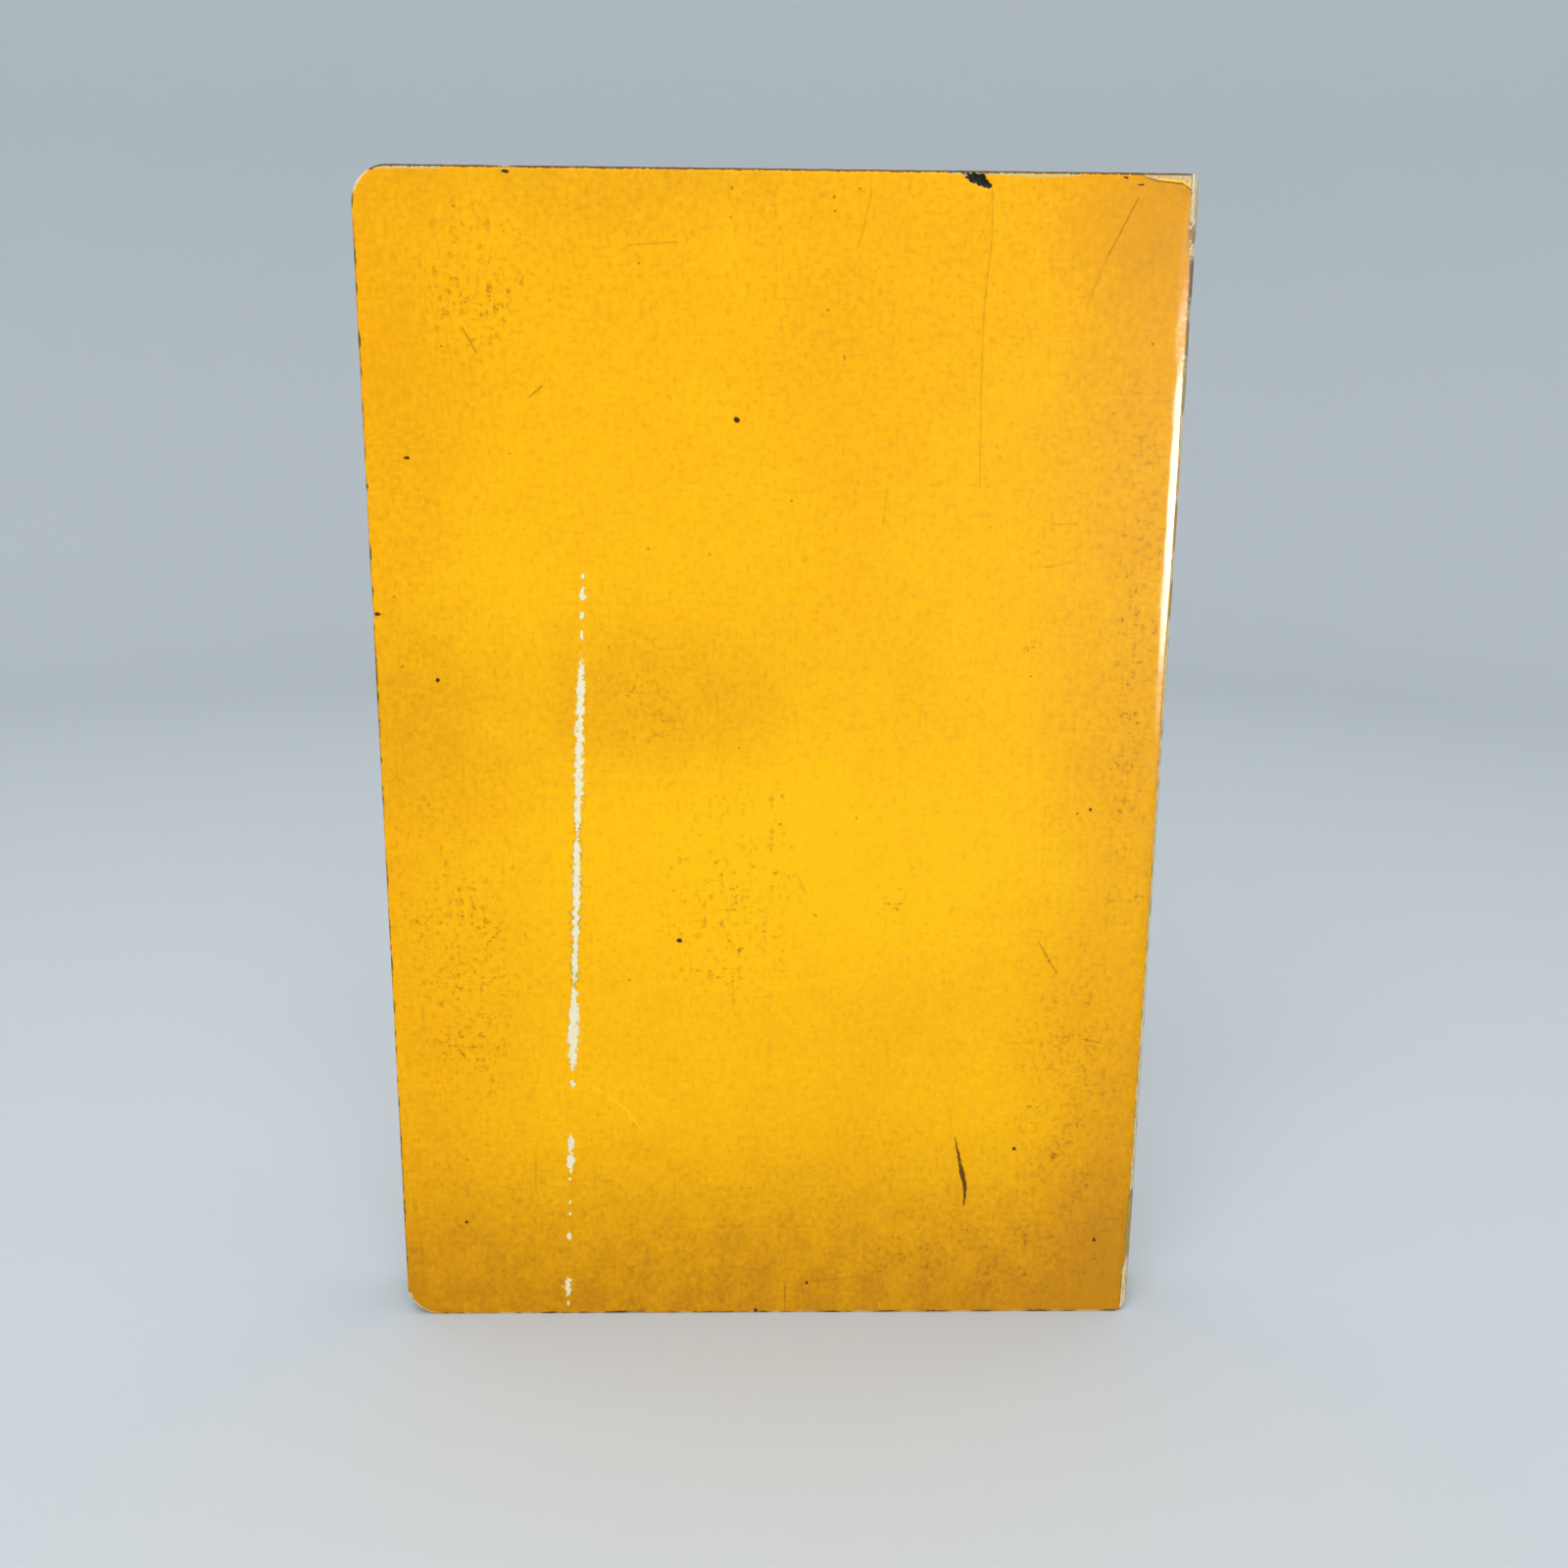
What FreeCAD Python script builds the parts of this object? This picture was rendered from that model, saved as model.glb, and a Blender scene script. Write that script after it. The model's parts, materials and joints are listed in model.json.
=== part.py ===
import FreeCAD
import Part
import Sketcher
import os

# A paperback book, standing upright on its tail edge.
# +Z is up. The back cover faces -Y, and the spine is at +X.
# The origin is the middle of the tail edge, and all sizes are in millimetres.

SIZES = {
    # The closed book, with its leaves and covers trimmed flush.
    "book_width": 127,
    "book_height": 190,
    "book_thickness": 15,
    # The cover card, and the glue between it and the leaves.
    "card_thickness": 0.5,
    "spine_glue_depth": 0.4,
    "side_glue_depth": 0.15,
    # The fold crease of each cover, measured from the back of the spine.
    "crease_from_spine": 5.5,
    "crease_gap": 0.1,
    # The rounded trim at the fore-edge, and the wear at the spine.
    "fore_corner_radius": 5.5,
    "spine_corner_radius": 2.5,
    "shoulder_radius": 2.3,
}

# Places that the pieces share, as expressions on the sheet.
FORE_EDGE = "-Sizes.book_width / 2"
SPINE_BACK = "Sizes.book_width / 2"
SPINE_CARD_INSIDE = "Sizes.book_width / 2 - Sizes.card_thickness"
LEAVES_AT_SPINE = "Sizes.book_width / 2 - Sizes.card_thickness - Sizes.spine_glue_depth"
CREASE = "Sizes.book_width / 2 - Sizes.crease_from_spine"
SPINE_SIDE_OF_CREASE = CREASE + " + Sizes.crease_gap / 2"
COVER_SIDE_OF_CREASE = CREASE + " - Sizes.crease_gap / 2"
OUTSIDE = "Sizes.book_thickness / 2"
LEAVES_OUTSIDE = "Sizes.book_thickness / 2 - Sizes.card_thickness"
LEAVES_UNDER_GLUE = "Sizes.book_thickness / 2 - Sizes.card_thickness - Sizes.side_glue_depth"
CARD_INNER_RADIUS = "Sizes.shoulder_radius - Sizes.card_thickness"
LEAVES_RADIUS = "Sizes.shoulder_radius - Sizes.card_thickness - Sizes.spine_glue_depth"

# The numbers that a sketch gives to the points of a line or an arc.
LINE_START = 1
LINE_END = 2
ARC_CENTRE = 3
SKETCH_ORIGIN = (-1, 1)
SAME_PLACE = 0.001

doc = FreeCAD.newDocument("paperback_book")
sheet = doc.addObject("Spreadsheet::Sheet", "Sizes")
for row, (alias, number) in enumerate(SIZES.items(), start=1):
    sheet.set("A%d" % row, alias)
    sheet.set("B%d" % row, str(number))
    sheet.setAlias("B%d" % row, alias)
doc.recompute()


def size(expression):
    """The number that an expression on the sheet comes to, in millimetres."""
    return float(sheet.evalExpression(expression))


def negative(expression):
    """The same place on the other side of the origin."""
    return "-(%s)" % expression


def new_sketch(body, name, role):
    """An empty sketch on one of the body's own origin planes."""
    sketch = body.newObject("Sketcher::SketchObject", name)
    plane = [item for item in body.Origin.OriginFeatures if item.Role == role][0]
    sketch.AttachmentSupport = (plane, [""])
    sketch.MapMode = "FlatFace"
    return sketch


def tie(sketch, kind, point, expression):
    """Holds a sketch point at a place on the sheet, along X or Y from the sketch's origin."""
    constraint = Sketcher.Constraint(kind, *SKETCH_ORIGIN, *point, size(expression))
    index = sketch.addConstraint(constraint)
    sketch.setExpression("Constraints[%d]" % index, expression)


def upright_section(body, corners):
    """A section of straight lines, each tied to the sheet, raised to the height of the book."""
    sketch = new_sketch(body, "Section", "XY_Plane")
    points = [FreeCAD.Vector(size(x), size(y), 0) for x, y in corners]
    following = points[1:] + points[:1]
    for start, end in zip(points, following):
        sketch.addGeometry(Part.LineSegment(start, end))
    for line, corner in enumerate(corners):
        after = (line + 1) % len(corners)
        sketch.addConstraint(Sketcher.Constraint("Coincident", line, LINE_END, after, LINE_START))
        if corner[0] == corners[after][0]:
            sketch.addConstraint(Sketcher.Constraint("Vertical", line))
            tie(sketch, "DistanceX", (line, LINE_START), corner[0])
        else:
            sketch.addConstraint(Sketcher.Constraint("Horizontal", line))
            tie(sketch, "DistanceY", (line, LINE_START), corner[1])
    pad = body.newObject("PartDesign::Pad", "Height")
    pad.Profile = sketch
    pad.setExpression("Length", "Sizes.book_height")
    doc.recompute()


def straight_edges(shape, direction, places):
    """The names of the straight edges along a direction whose middles are at the given places."""
    names = []
    for number, edge in enumerate(shape.Edges, start=1):
        if not isinstance(edge.Curve, Part.Line):
            continue
        if abs(edge.Curve.Direction.dot(direction)) < 1 - SAME_PLACE:
            continue
        middle = edge.CenterOfMass
        across = middle - direction * middle.dot(direction)
        if any((across - place).Length < SAME_PLACE for place in places):
            names.append("Edge%d" % number)
    return names


def fillet(body, name, direction, places, radius):
    """Rounds the edges at the given places, and checks that each place had one."""
    base = body.Tip
    edges = straight_edges(base.Shape, direction, places)
    if len(edges) != len(places):
        raise RuntimeError("%s: %s found %d edges of %d" % (body.Label, name, len(edges), len(places)))
    feature = body.newObject("PartDesign::Fillet", name)
    feature.Base = (base, edges)
    feature.setExpression("Radius", radius)
    doc.recompute()


def round_fore_corners(body):
    """The rounded trim of the head and tail corners at the fore-edge."""
    fore = size(FORE_EDGE)
    places = [FreeCAD.Vector(fore, 0, 0), FreeCAD.Vector(fore, 0, size("Sizes.book_height"))]
    fillet(body, "ForeCorners", FreeCAD.Vector(0, 1, 0), places, "Sizes.fore_corner_radius")


def round_shoulders(body, name, along_width, along_thickness, radius):
    """The soft upright edges where the cover turns from its sides to its spine."""
    spine = size(along_width)
    side = size(along_thickness)
    places = [FreeCAD.Vector(spine, -side, 0), FreeCAD.Vector(spine, side, 0)]
    fillet(body, name, FreeCAD.Vector(0, 0, 1), places, radius)


def wear_spine_corners(body):
    """The head and tail of the spine, worn round: one quarter round cut through all that is there."""
    sketch = new_sketch(body, "SpineCorners", "XZ_Plane")
    spine = size(SPINE_BACK)
    radius = size("Sizes.spine_corner_radius")
    inward = "Sizes.book_width / 2 - Sizes.spine_corner_radius"
    tail = ("0", "Sizes.spine_corner_radius", 1)
    head = ("Sizes.book_height", "Sizes.book_height - Sizes.spine_corner_radius", -1)
    for corner_expression, centre_expression, up in (tail, head):
        end = size(corner_expression)
        corner = FreeCAD.Vector(spine, end, 0)
        beside = FreeCAD.Vector(spine - radius, end, 0)
        above = FreeCAD.Vector(spine, end + up * radius, 0)
        centre = FreeCAD.Vector(spine - radius, end + up * radius, 0)
        bend = centre + (corner - centre).normalize() * radius
        level = sketch.addGeometry(Part.LineSegment(beside, corner))
        upright = sketch.addGeometry(Part.LineSegment(corner, above))
        arc = sketch.addGeometry(Part.Arc(above, bend, beside))
        anticlockwise = up < 0
        arc_at_above = LINE_START if anticlockwise else LINE_END
        arc_at_beside = LINE_END if anticlockwise else LINE_START
        sketch.addConstraint(Sketcher.Constraint("Coincident", level, LINE_END, upright, LINE_START))
        sketch.addConstraint(Sketcher.Constraint("Coincident", upright, LINE_END, arc, arc_at_above))
        sketch.addConstraint(Sketcher.Constraint("Coincident", level, LINE_START, arc, arc_at_beside))
        sketch.addConstraint(Sketcher.Constraint("Horizontal", level))
        sketch.addConstraint(Sketcher.Constraint("Vertical", upright))
        tie(sketch, "DistanceX", (upright, LINE_START), SPINE_BACK)
        tie(sketch, "DistanceY", (level, LINE_START), corner_expression)
        tie(sketch, "DistanceX", (level, LINE_START), inward)
        tie(sketch, "DistanceY", (upright, LINE_END), centre_expression)
        tie(sketch, "DistanceX", (arc, ARC_CENTRE), inward)
    doc.recompute()
    before = body.Tip.Shape.Volume
    pocket = body.newObject("PartDesign::Pocket", "SpineWear")
    pocket.Profile = sketch
    pocket.Type = "ThroughAll"
    pocket.SideType = "Symmetric"
    doc.recompute()
    if not pocket.Shape.Volume < before:
        raise RuntimeError("%s: the worn spine corners cut nothing" % body.Label)


def new_body(label):
    """A sub-part of the book, which is named by its label."""
    body = doc.addObject("PartDesign::Body", label)
    body.Label = label
    return body


def make_page_block():
    """All the leaves as one block, a little thinner where the side glue grips them."""
    body = new_body("page_block")
    upright_section(body, [
        (FORE_EDGE, negative(LEAVES_OUTSIDE)),
        (CREASE, negative(LEAVES_OUTSIDE)),
        (CREASE, negative(LEAVES_UNDER_GLUE)),
        (LEAVES_AT_SPINE, negative(LEAVES_UNDER_GLUE)),
        (LEAVES_AT_SPINE, LEAVES_UNDER_GLUE),
        (CREASE, LEAVES_UNDER_GLUE),
        (CREASE, LEAVES_OUTSIDE),
        (FORE_EDGE, LEAVES_OUTSIDE),
    ])
    round_fore_corners(body)
    round_shoulders(body, "Shoulders", LEAVES_AT_SPINE, LEAVES_UNDER_GLUE, LEAVES_RADIUS)
    wear_spine_corners(body)
    return body


def make_spine_glue():
    """The glue over the back of the leaves, with a thin strip up each side as far as the crease."""
    body = new_body("spine_glue")
    upright_section(body, [
        (CREASE, negative(LEAVES_OUTSIDE)),
        (SPINE_CARD_INSIDE, negative(LEAVES_OUTSIDE)),
        (SPINE_CARD_INSIDE, LEAVES_OUTSIDE),
        (CREASE, LEAVES_OUTSIDE),
        (CREASE, LEAVES_UNDER_GLUE),
        (LEAVES_AT_SPINE, LEAVES_UNDER_GLUE),
        (LEAVES_AT_SPINE, negative(LEAVES_UNDER_GLUE)),
        (CREASE, negative(LEAVES_UNDER_GLUE)),
    ])
    round_shoulders(body, "OuterShoulders", SPINE_CARD_INSIDE, LEAVES_OUTSIDE, CARD_INNER_RADIUS)
    round_shoulders(body, "InnerShoulders", LEAVES_AT_SPINE, LEAVES_UNDER_GLUE, LEAVES_RADIUS)
    wear_spine_corners(body)
    return body


def make_spine_cover():
    """The cover card over the spine, from crease to crease, round both shoulders."""
    body = new_body("spine_cover")
    upright_section(body, [
        (SPINE_SIDE_OF_CREASE, negative(OUTSIDE)),
        (SPINE_BACK, negative(OUTSIDE)),
        (SPINE_BACK, OUTSIDE),
        (SPINE_SIDE_OF_CREASE, OUTSIDE),
        (SPINE_SIDE_OF_CREASE, LEAVES_OUTSIDE),
        (SPINE_CARD_INSIDE, LEAVES_OUTSIDE),
        (SPINE_CARD_INSIDE, negative(LEAVES_OUTSIDE)),
        (SPINE_SIDE_OF_CREASE, negative(LEAVES_OUTSIDE)),
    ])
    round_shoulders(body, "OuterShoulders", SPINE_BACK, OUTSIDE, "Sizes.shoulder_radius")
    round_shoulders(body, "InnerShoulders", SPINE_CARD_INSIDE, LEAVES_OUTSIDE, CARD_INNER_RADIUS)
    wear_spine_corners(body)
    return body


def make_cover(label, inside, outside):
    """One cover panel, from its crease to the fore-edge, flat on the leaves."""
    body = new_body(label)
    upright_section(body, [
        (FORE_EDGE, outside),
        (COVER_SIDE_OF_CREASE, outside),
        (COVER_SIDE_OF_CREASE, inside),
        (FORE_EDGE, inside),
    ])
    round_fore_corners(body)
    return body


def check_document():
    """Stops before anything is written if an object of the document failed."""
    for item in doc.Objects:
        if "Invalid" in item.State or "Error" in item.State:
            raise RuntimeError("%s: %s" % (item.Label, item.State))


def write_piece(body):
    """Writes one piece's shape, once it is known to be a single sound solid."""
    shape = body.Shape
    if shape.isNull() or not shape.isValid() or len(shape.Solids) != 1:
        raise RuntimeError("%s is not one valid solid" % body.Label)
    shape.exportStep("parts/%s.step" % body.Label)
    print("%s: %.1f mm3" % (body.Label, shape.Volume))


pieces = [
    make_page_block(),
    make_spine_glue(),
    make_spine_cover(),
    make_cover("front_cover", LEAVES_OUTSIDE, OUTSIDE),
    make_cover("back_cover", negative(LEAVES_OUTSIDE), negative(OUTSIDE)),
]
doc.recompute()
check_document()
os.makedirs("parts", exist_ok=True)
for piece in pieces:
    write_piece(piece)
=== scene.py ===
"""A worn yellow paperback book, standing closed on its tail edge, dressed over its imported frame.

Places on the cover card are in millimetres on the card laid flat: across from the middle of the book
towards the spine and on round its shoulder, inwards through the card, and up from the tail edge.
"""

import json
import logging
import math
import random
from dataclasses import dataclass, field
from enum import Enum

import bmesh
import bpy
from mathutils import Euler, Matrix, Vector, noise

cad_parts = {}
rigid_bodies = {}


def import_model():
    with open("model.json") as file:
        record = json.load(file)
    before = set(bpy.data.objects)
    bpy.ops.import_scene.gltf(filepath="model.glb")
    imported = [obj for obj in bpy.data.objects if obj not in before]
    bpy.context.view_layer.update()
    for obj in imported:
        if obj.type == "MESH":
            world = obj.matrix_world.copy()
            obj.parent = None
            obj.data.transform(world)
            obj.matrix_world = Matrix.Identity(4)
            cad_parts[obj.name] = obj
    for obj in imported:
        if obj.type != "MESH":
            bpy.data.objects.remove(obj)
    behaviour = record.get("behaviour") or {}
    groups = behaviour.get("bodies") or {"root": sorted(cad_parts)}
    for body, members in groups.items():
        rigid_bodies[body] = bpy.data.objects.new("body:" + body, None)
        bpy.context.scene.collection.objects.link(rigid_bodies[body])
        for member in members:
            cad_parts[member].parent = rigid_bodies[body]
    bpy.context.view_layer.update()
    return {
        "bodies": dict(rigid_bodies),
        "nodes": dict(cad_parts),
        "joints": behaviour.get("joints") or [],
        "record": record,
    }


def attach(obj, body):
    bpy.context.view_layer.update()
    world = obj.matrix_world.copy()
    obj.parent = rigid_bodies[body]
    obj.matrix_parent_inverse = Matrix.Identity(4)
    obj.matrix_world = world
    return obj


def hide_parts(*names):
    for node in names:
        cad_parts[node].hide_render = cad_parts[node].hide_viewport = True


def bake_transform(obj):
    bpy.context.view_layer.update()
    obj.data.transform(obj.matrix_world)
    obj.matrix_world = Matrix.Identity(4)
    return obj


LOG = logging.getLogger("paperback")
MM = 0.001
NEAR = 0.01
FLAT_PLACE = "flat_place"
SOIL_AND_LIGHT = "soil_and_light"
RIM = "rim"
SHADE_SMOOTH_BELOW = math.radians(50)
BACK_SEED = 4.0
FRONT_SEED = 40.0

Colour = tuple[float, float, float]


class Side(Enum):
    """The side of the book that a cover lies on, as the sign of Y that it faces."""

    BACK = -1
    FRONT = 1


@dataclass(frozen=True)
class BookSizes:
    """The closed book's sizes, in millimetres."""

    width: float = 127.0
    height: float = 190.0
    thickness: float = 15.0
    card: float = 0.5
    spine_glue: float = 0.4
    side_glue: float = 0.15
    crease: float = 58.0
    fore_corner: float = 5.5
    shoulder: float = 2.3
    worn_head: float = 1.9
    worn_tail: float = 3.0

    @property
    def fold_start(self) -> float:
        """Where the flat card starts to turn round the shoulder."""
        return self.width / 2 - self.shoulder

    @property
    def fold_end(self) -> float:
        """Where the card has turned on to the back of the spine."""
        return self.fold_start + self.shoulder * math.pi / 2

    @property
    def spine_middle(self) -> float:
        """The middle of the spine, on the card laid flat."""
        return self.fold_end + self.thickness / 2 - self.shoulder

    def worn_end(self, across: float, up: float) -> float:
        """Pulls a height in where the head and the tail of the spine are worn round.

        Args:
            across: The place along the book's width.
            up: The height before wear.

        Returns:
            The height after wear.
        """
        ends = ((self.worn_tail, 0.0, 1.0), (self.worn_head, self.height, -1.0))
        for radius, edge, inward in ends:
            past = across - (self.width / 2 - radius)
            if past > 0:
                pulled = radius - math.sqrt(max(radius * radius - past * past, 0.0))
                near = max(0.0, 1.0 - abs(up - edge) / (3 * radius))
                up += inward * pulled * near
        return up

    def fold(self, place: Vector, side: Side) -> Vector:
        """Carries a place on the flat card to where it lies round the leaves.

        Args:
            place: Along the card, depth in the card, and height.
            side: The side of the book from which the card is measured.

        Returns:
            The place in the book, still in millimetres.
        """
        along, depth, up = place
        outward = side.value
        if along > self.spine_middle:
            along = 2 * self.spine_middle - along
            outward = -outward
        radius = self.shoulder - depth
        if along <= self.fold_start:
            across = along
            out = self.thickness / 2 - depth
        elif along <= self.fold_end:
            turn = (along - self.fold_start) / self.shoulder
            across = self.fold_start + radius * math.sin(turn)
            out = self.thickness / 2 - self.shoulder + radius * math.cos(turn)
        else:
            across = self.width / 2 - depth
            out = self.thickness / 2 - self.shoulder - (along - self.fold_end)
        return Vector((across, outward * out, self.worn_end(across, up)))

    def inset(self, across: float, up: float) -> float:
        """The distance in from the trimmed outline of a cover or a leaf."""
        corner = self.fore_corner
        out = corner - self.width / 2 - across
        beyond = abs(up - self.height / 2) - (self.height / 2 - corner)
        if out > 0 and beyond > 0:
            return corner - math.hypot(out, beyond)
        return corner - max(out, beyond)

    def inward(self, across: float, up: float) -> Vector:
        """The direction from the trimmed outline to the inside of the card or leaf."""
        centre_across = max(across, self.fore_corner - self.width / 2)
        centre_up = min(max(up, self.fore_corner), self.height - self.fore_corner)
        away = Vector((centre_across - across, 0.0, centre_up - up))
        return away.normalized() if away.length > 0 else away

    def round_fore_corners(self, mesh: bmesh.types.BMesh) -> None:
        """Turns the square corners at the fore-edge into quarter rounds, cells and all."""
        radius = self.fore_corner
        centre_across = radius - self.width / 2
        for vert in mesh.verts:
            for centre_up, way in ((radius, -1), (self.height - radius, 1)):
                out = (centre_across - vert.co.x) / radius
                beyond = (vert.co.z - centre_up) * way / radius
                if out > 0 and beyond > 0:
                    scale = max(out, beyond) / math.hypot(out, beyond) * radius
                    vert.co.x = centre_across - out * scale
                    vert.co.z = centre_up + way * beyond * scale


@dataclass(frozen=True)
class Blot:
    """A spot or a smudge: its middle, and its half width and half height."""

    across: float
    up: float
    wide: float
    tall: float | None = None


def blots(*rows: tuple[float, ...]) -> tuple[Blot, ...]:
    """Blots from rows of across, up, half width and, where it differs, half height."""
    return tuple(Blot(*row) for row in rows)


@dataclass(frozen=True)
class Notch:
    """A small tear or chip in the rim of the card."""

    along: float
    up: float
    half_width: float
    depth: float


@dataclass(frozen=True)
class CardWear:
    """How far the card's rim and its outer surface have worn, in millimetres."""

    rim: float = 0.07
    waves: float = 0.05
    shoulder_dents: float = 0.07
    crease_depth: float = 0.02
    crease_half_width: float = 0.45
    notches: tuple[Notch, ...] = ()
    corner_line: tuple[tuple[float, float], ...] = ()
    corner_depth: float = 0.14
    gash: tuple[tuple[float, float], ...] = ()
    gash_depth: float = 0.13
    chip: tuple["Blot", ...] = ()
    chip_depth: float = 0.3

    def rim_loss(self, along: float, up: float, seed: float) -> float:
        """How far the rim has worn in from its trimmed line."""
        rough = noise.noise(Vector((along * 0.5, up * 0.5, seed)))
        fine = noise.noise(Vector((along * 1.7, up * 1.7, seed + 9)))
        loss = self.rim * (0.6 + 0.8 * rough + 0.5 * fine)
        for notch in self.notches:
            away = math.hypot(along - notch.along, up - notch.up)
            loss += notch.depth * math.exp(-((away / notch.half_width) ** 2))
        return max(loss, 0.0)

    def corner_edge(self, along: float) -> float | None:
        """The height of the line above which the print has peeled off, if there is one here."""
        for start, end in zip(self.corner_line, self.corner_line[1:]):
            if start[0] <= along <= end[0]:
                share = (along - start[0]) / (end[0] - start[0])
                return start[1] + share * (end[1] - start[1])
        return None

    def sink(self, along: float, up: float, seed: float, book: BookSizes) -> float:
        """How far the outer surface lies below that of a new card.

        Args:
            along: The place along the card.
            up: The height.
            seed: The number that tells the covers' waves apart.
            book: The book's sizes.

        Returns:
            The depth in millimetres.
        """
        wave = noise.noise(Vector((along / 38, up / 52, seed)))
        depth = self.waves * (0.5 + 0.5 * wave)
        off_crease = (along - book.crease) / self.crease_half_width
        depth += self.crease_depth * math.exp(-(off_crease**2))
        if along > book.fold_start:
            dent = noise.noise(Vector((along * 0.5, up * 0.14, seed + 3)))
            depth += self.shoulder_dents * max(0.0, 0.3 + dent)
        edge = self.corner_edge(along)
        if edge is not None and up > edge:
            depth += self.corner_depth * min((up - edge) / 0.25, 1.0)
        for start, end in zip(self.gash, self.gash[1:]):
            away = distance_to_line(along, up, start, end)
            depth = max(depth, self.gash_depth * math.exp(-((away / 0.35) ** 2)))
        for blot in self.chip:
            away = math.hypot(along - blot.across, up - blot.up) / blot.wide
            depth = max(depth, self.chip_depth * math.exp(-(away**4)))
        return min(depth, book.card * 0.7)


def ease(value: float, none: float, full: float) -> float:
    """A soft step that is 0 at one value and 1 at the other."""
    share = min(max((value - none) / (full - none), 0.0), 1.0)
    return share * share * (3 - 2 * share)


@dataclass(frozen=True)
class SoilAndLight:
    """How one cover has aged: its deeper tone, its grime, its specks and its rim; towards the tail
    its grime is partly painted shade, and a painted sheen may lighten its middle.
    """

    smudges: tuple[Blot, ...] = ()
    speckled: tuple[Blot, ...] = ()
    stains: tuple[Blot, ...] = ()
    painted_sheen: tuple[Blot, ...] = ()
    dirt_and_shade: float = 1.0

    @staticmethod
    def covered(
        along: float, up: float, blots: tuple[Blot, ...], reach: float = 1.25
    ) -> float:
        """How strongly a place is covered by the nearest of some soft blots."""
        nearest = 9.0
        for blot in blots:
            tall = blot.tall or blot.wide
            away = math.hypot((along - blot.across) / blot.wide, (up - blot.up) / tall)
            nearest = min(nearest, away)
        return ease(nearest, reach, 0.15)

    def at(self, along: float, up: float, seed: float) -> Vector:
        """The shares of deep tone, of grime and painted shade, and of gathered specks at a place.

        Args:
            along: The place along the card.
            up: The height.
            seed: The number that tells the covers' dirt apart.

        Returns:
            The three shares, from 0 to 1.
        """
        cloud = noise.fractal(Vector((along / 26, up / 34, seed)), 0.6, 2.0, 4)
        patchy = noise.fractal(Vector((along / 5, up / 6, seed + 5)), 0.4, 2.0, 4)
        broken = ease(patchy, -0.35, 0.45)
        high = ease(up, 125.0, 188.0)
        low = ease(up, 42.0, -2.0)
        left = ease(along, -36.0, -62.0)
        right = ease(along, 36.0, 60.0)
        # Less deep tone inside the painted sheen: a painted reflection of the bright floor,
        # lightening a band across the middle of the back.
        deep = 0.38 + 0.2 * cloud - 0.45 * self.covered(along, up, self.painted_sheen)
        deep += 0.28 * high + 0.25 * left + 0.35 * right
        # Darker towards the tail: partly dirt, partly painted shade where the light falls off near
        # the floor.
        darkening = low * 0.8 + left * 0.06 + right * 0.16 + high * 0.05
        darkening += self.covered(along, up, self.stains, 1.7) * 0.24
        darkening = darkening * (0.95 + 0.18 * patchy) + 0.04 * broken
        specks = self.covered(along, up, self.speckled) * (0.2 + 0.75 * broken)
        specks = max(specks, self.covered(along, up, self.smudges) * (0.45 + 0.5 * broken))
        specks = max(specks, 0.1 + 0.3 * low * broken)
        return Vector((deep, darkening * self.dirt_and_shade, specks * self.dirt_and_shade))

    @staticmethod
    def rim_at(book: BookSizes, along: float, up: float, seed: float) -> Vector:
        """The inset from the trimmed rim, and how dark and how pale the rim is there.

        Args:
            book: The book's sizes.
            along: The place along the card.
            up: The height.
            seed: The number that tells the covers' rims apart.

        Returns:
            The inset in millimetres, and two shares from 0 to 1.
        """
        inset = book.inset(along, up)
        patch = noise.fractal(Vector((along / 4.5, up / 4.5, seed + 2)), 0.5, 2.0, 3)
        at_head = up > book.height - 3 and along > 3 - book.width / 2
        at_tail = up < 3 and along > 4 - book.width / 2
        round_corner = along < 4.2 - book.width / 2 and not 4.2 < up < book.height - 4.2
        dark = 0.35 + 0.65 * ease(patch, -0.2, 0.35)
        pale = ease(patch, 0.3, 0.5) * 0.5
        if at_head:
            dark = 1.0
            pale *= 0.5
        elif round_corner:
            dark *= 0.2
            pale = 1.0
        elif at_tail:
            dark = ease(patch, -0.15, 0.3)
            pale = ease(patch, 0.05, -0.4) * 0.8
        return Vector((inset, dark, pale))


def distance_to_line(
    across: float, up: float, start: tuple[float, float], end: tuple[float, float]
) -> float:
    """The distance from a place to a straight stretch between two places."""
    run = Vector(end) - Vector(start)
    rel = Vector((across, up)) - Vector(start)
    share = min(max(rel.dot(run) / run.length_squared, 0.0), 1.0)
    return (rel - run * share).length


def finish_mesh(name: str, mesh: bmesh.types.BMesh) -> bpy.types.Object:
    """Turns a bmesh in millimetres into a smooth object at the origin, in metres."""
    bmesh.ops.recalc_face_normals(mesh, faces=mesh.faces)
    bmesh.ops.scale(mesh, vec=(MM, MM, MM), verts=mesh.verts)
    for face in mesh.faces:
        face.smooth = True
    data = bpy.data.meshes.new(name)
    mesh.to_mesh(data)
    mesh.free()
    data.set_sharp_from_angle(angle=SHADE_SMOOTH_BELOW)
    piece = bpy.data.objects.new(name, data)
    bpy.context.scene.collection.objects.link(piece)
    return piece


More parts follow.
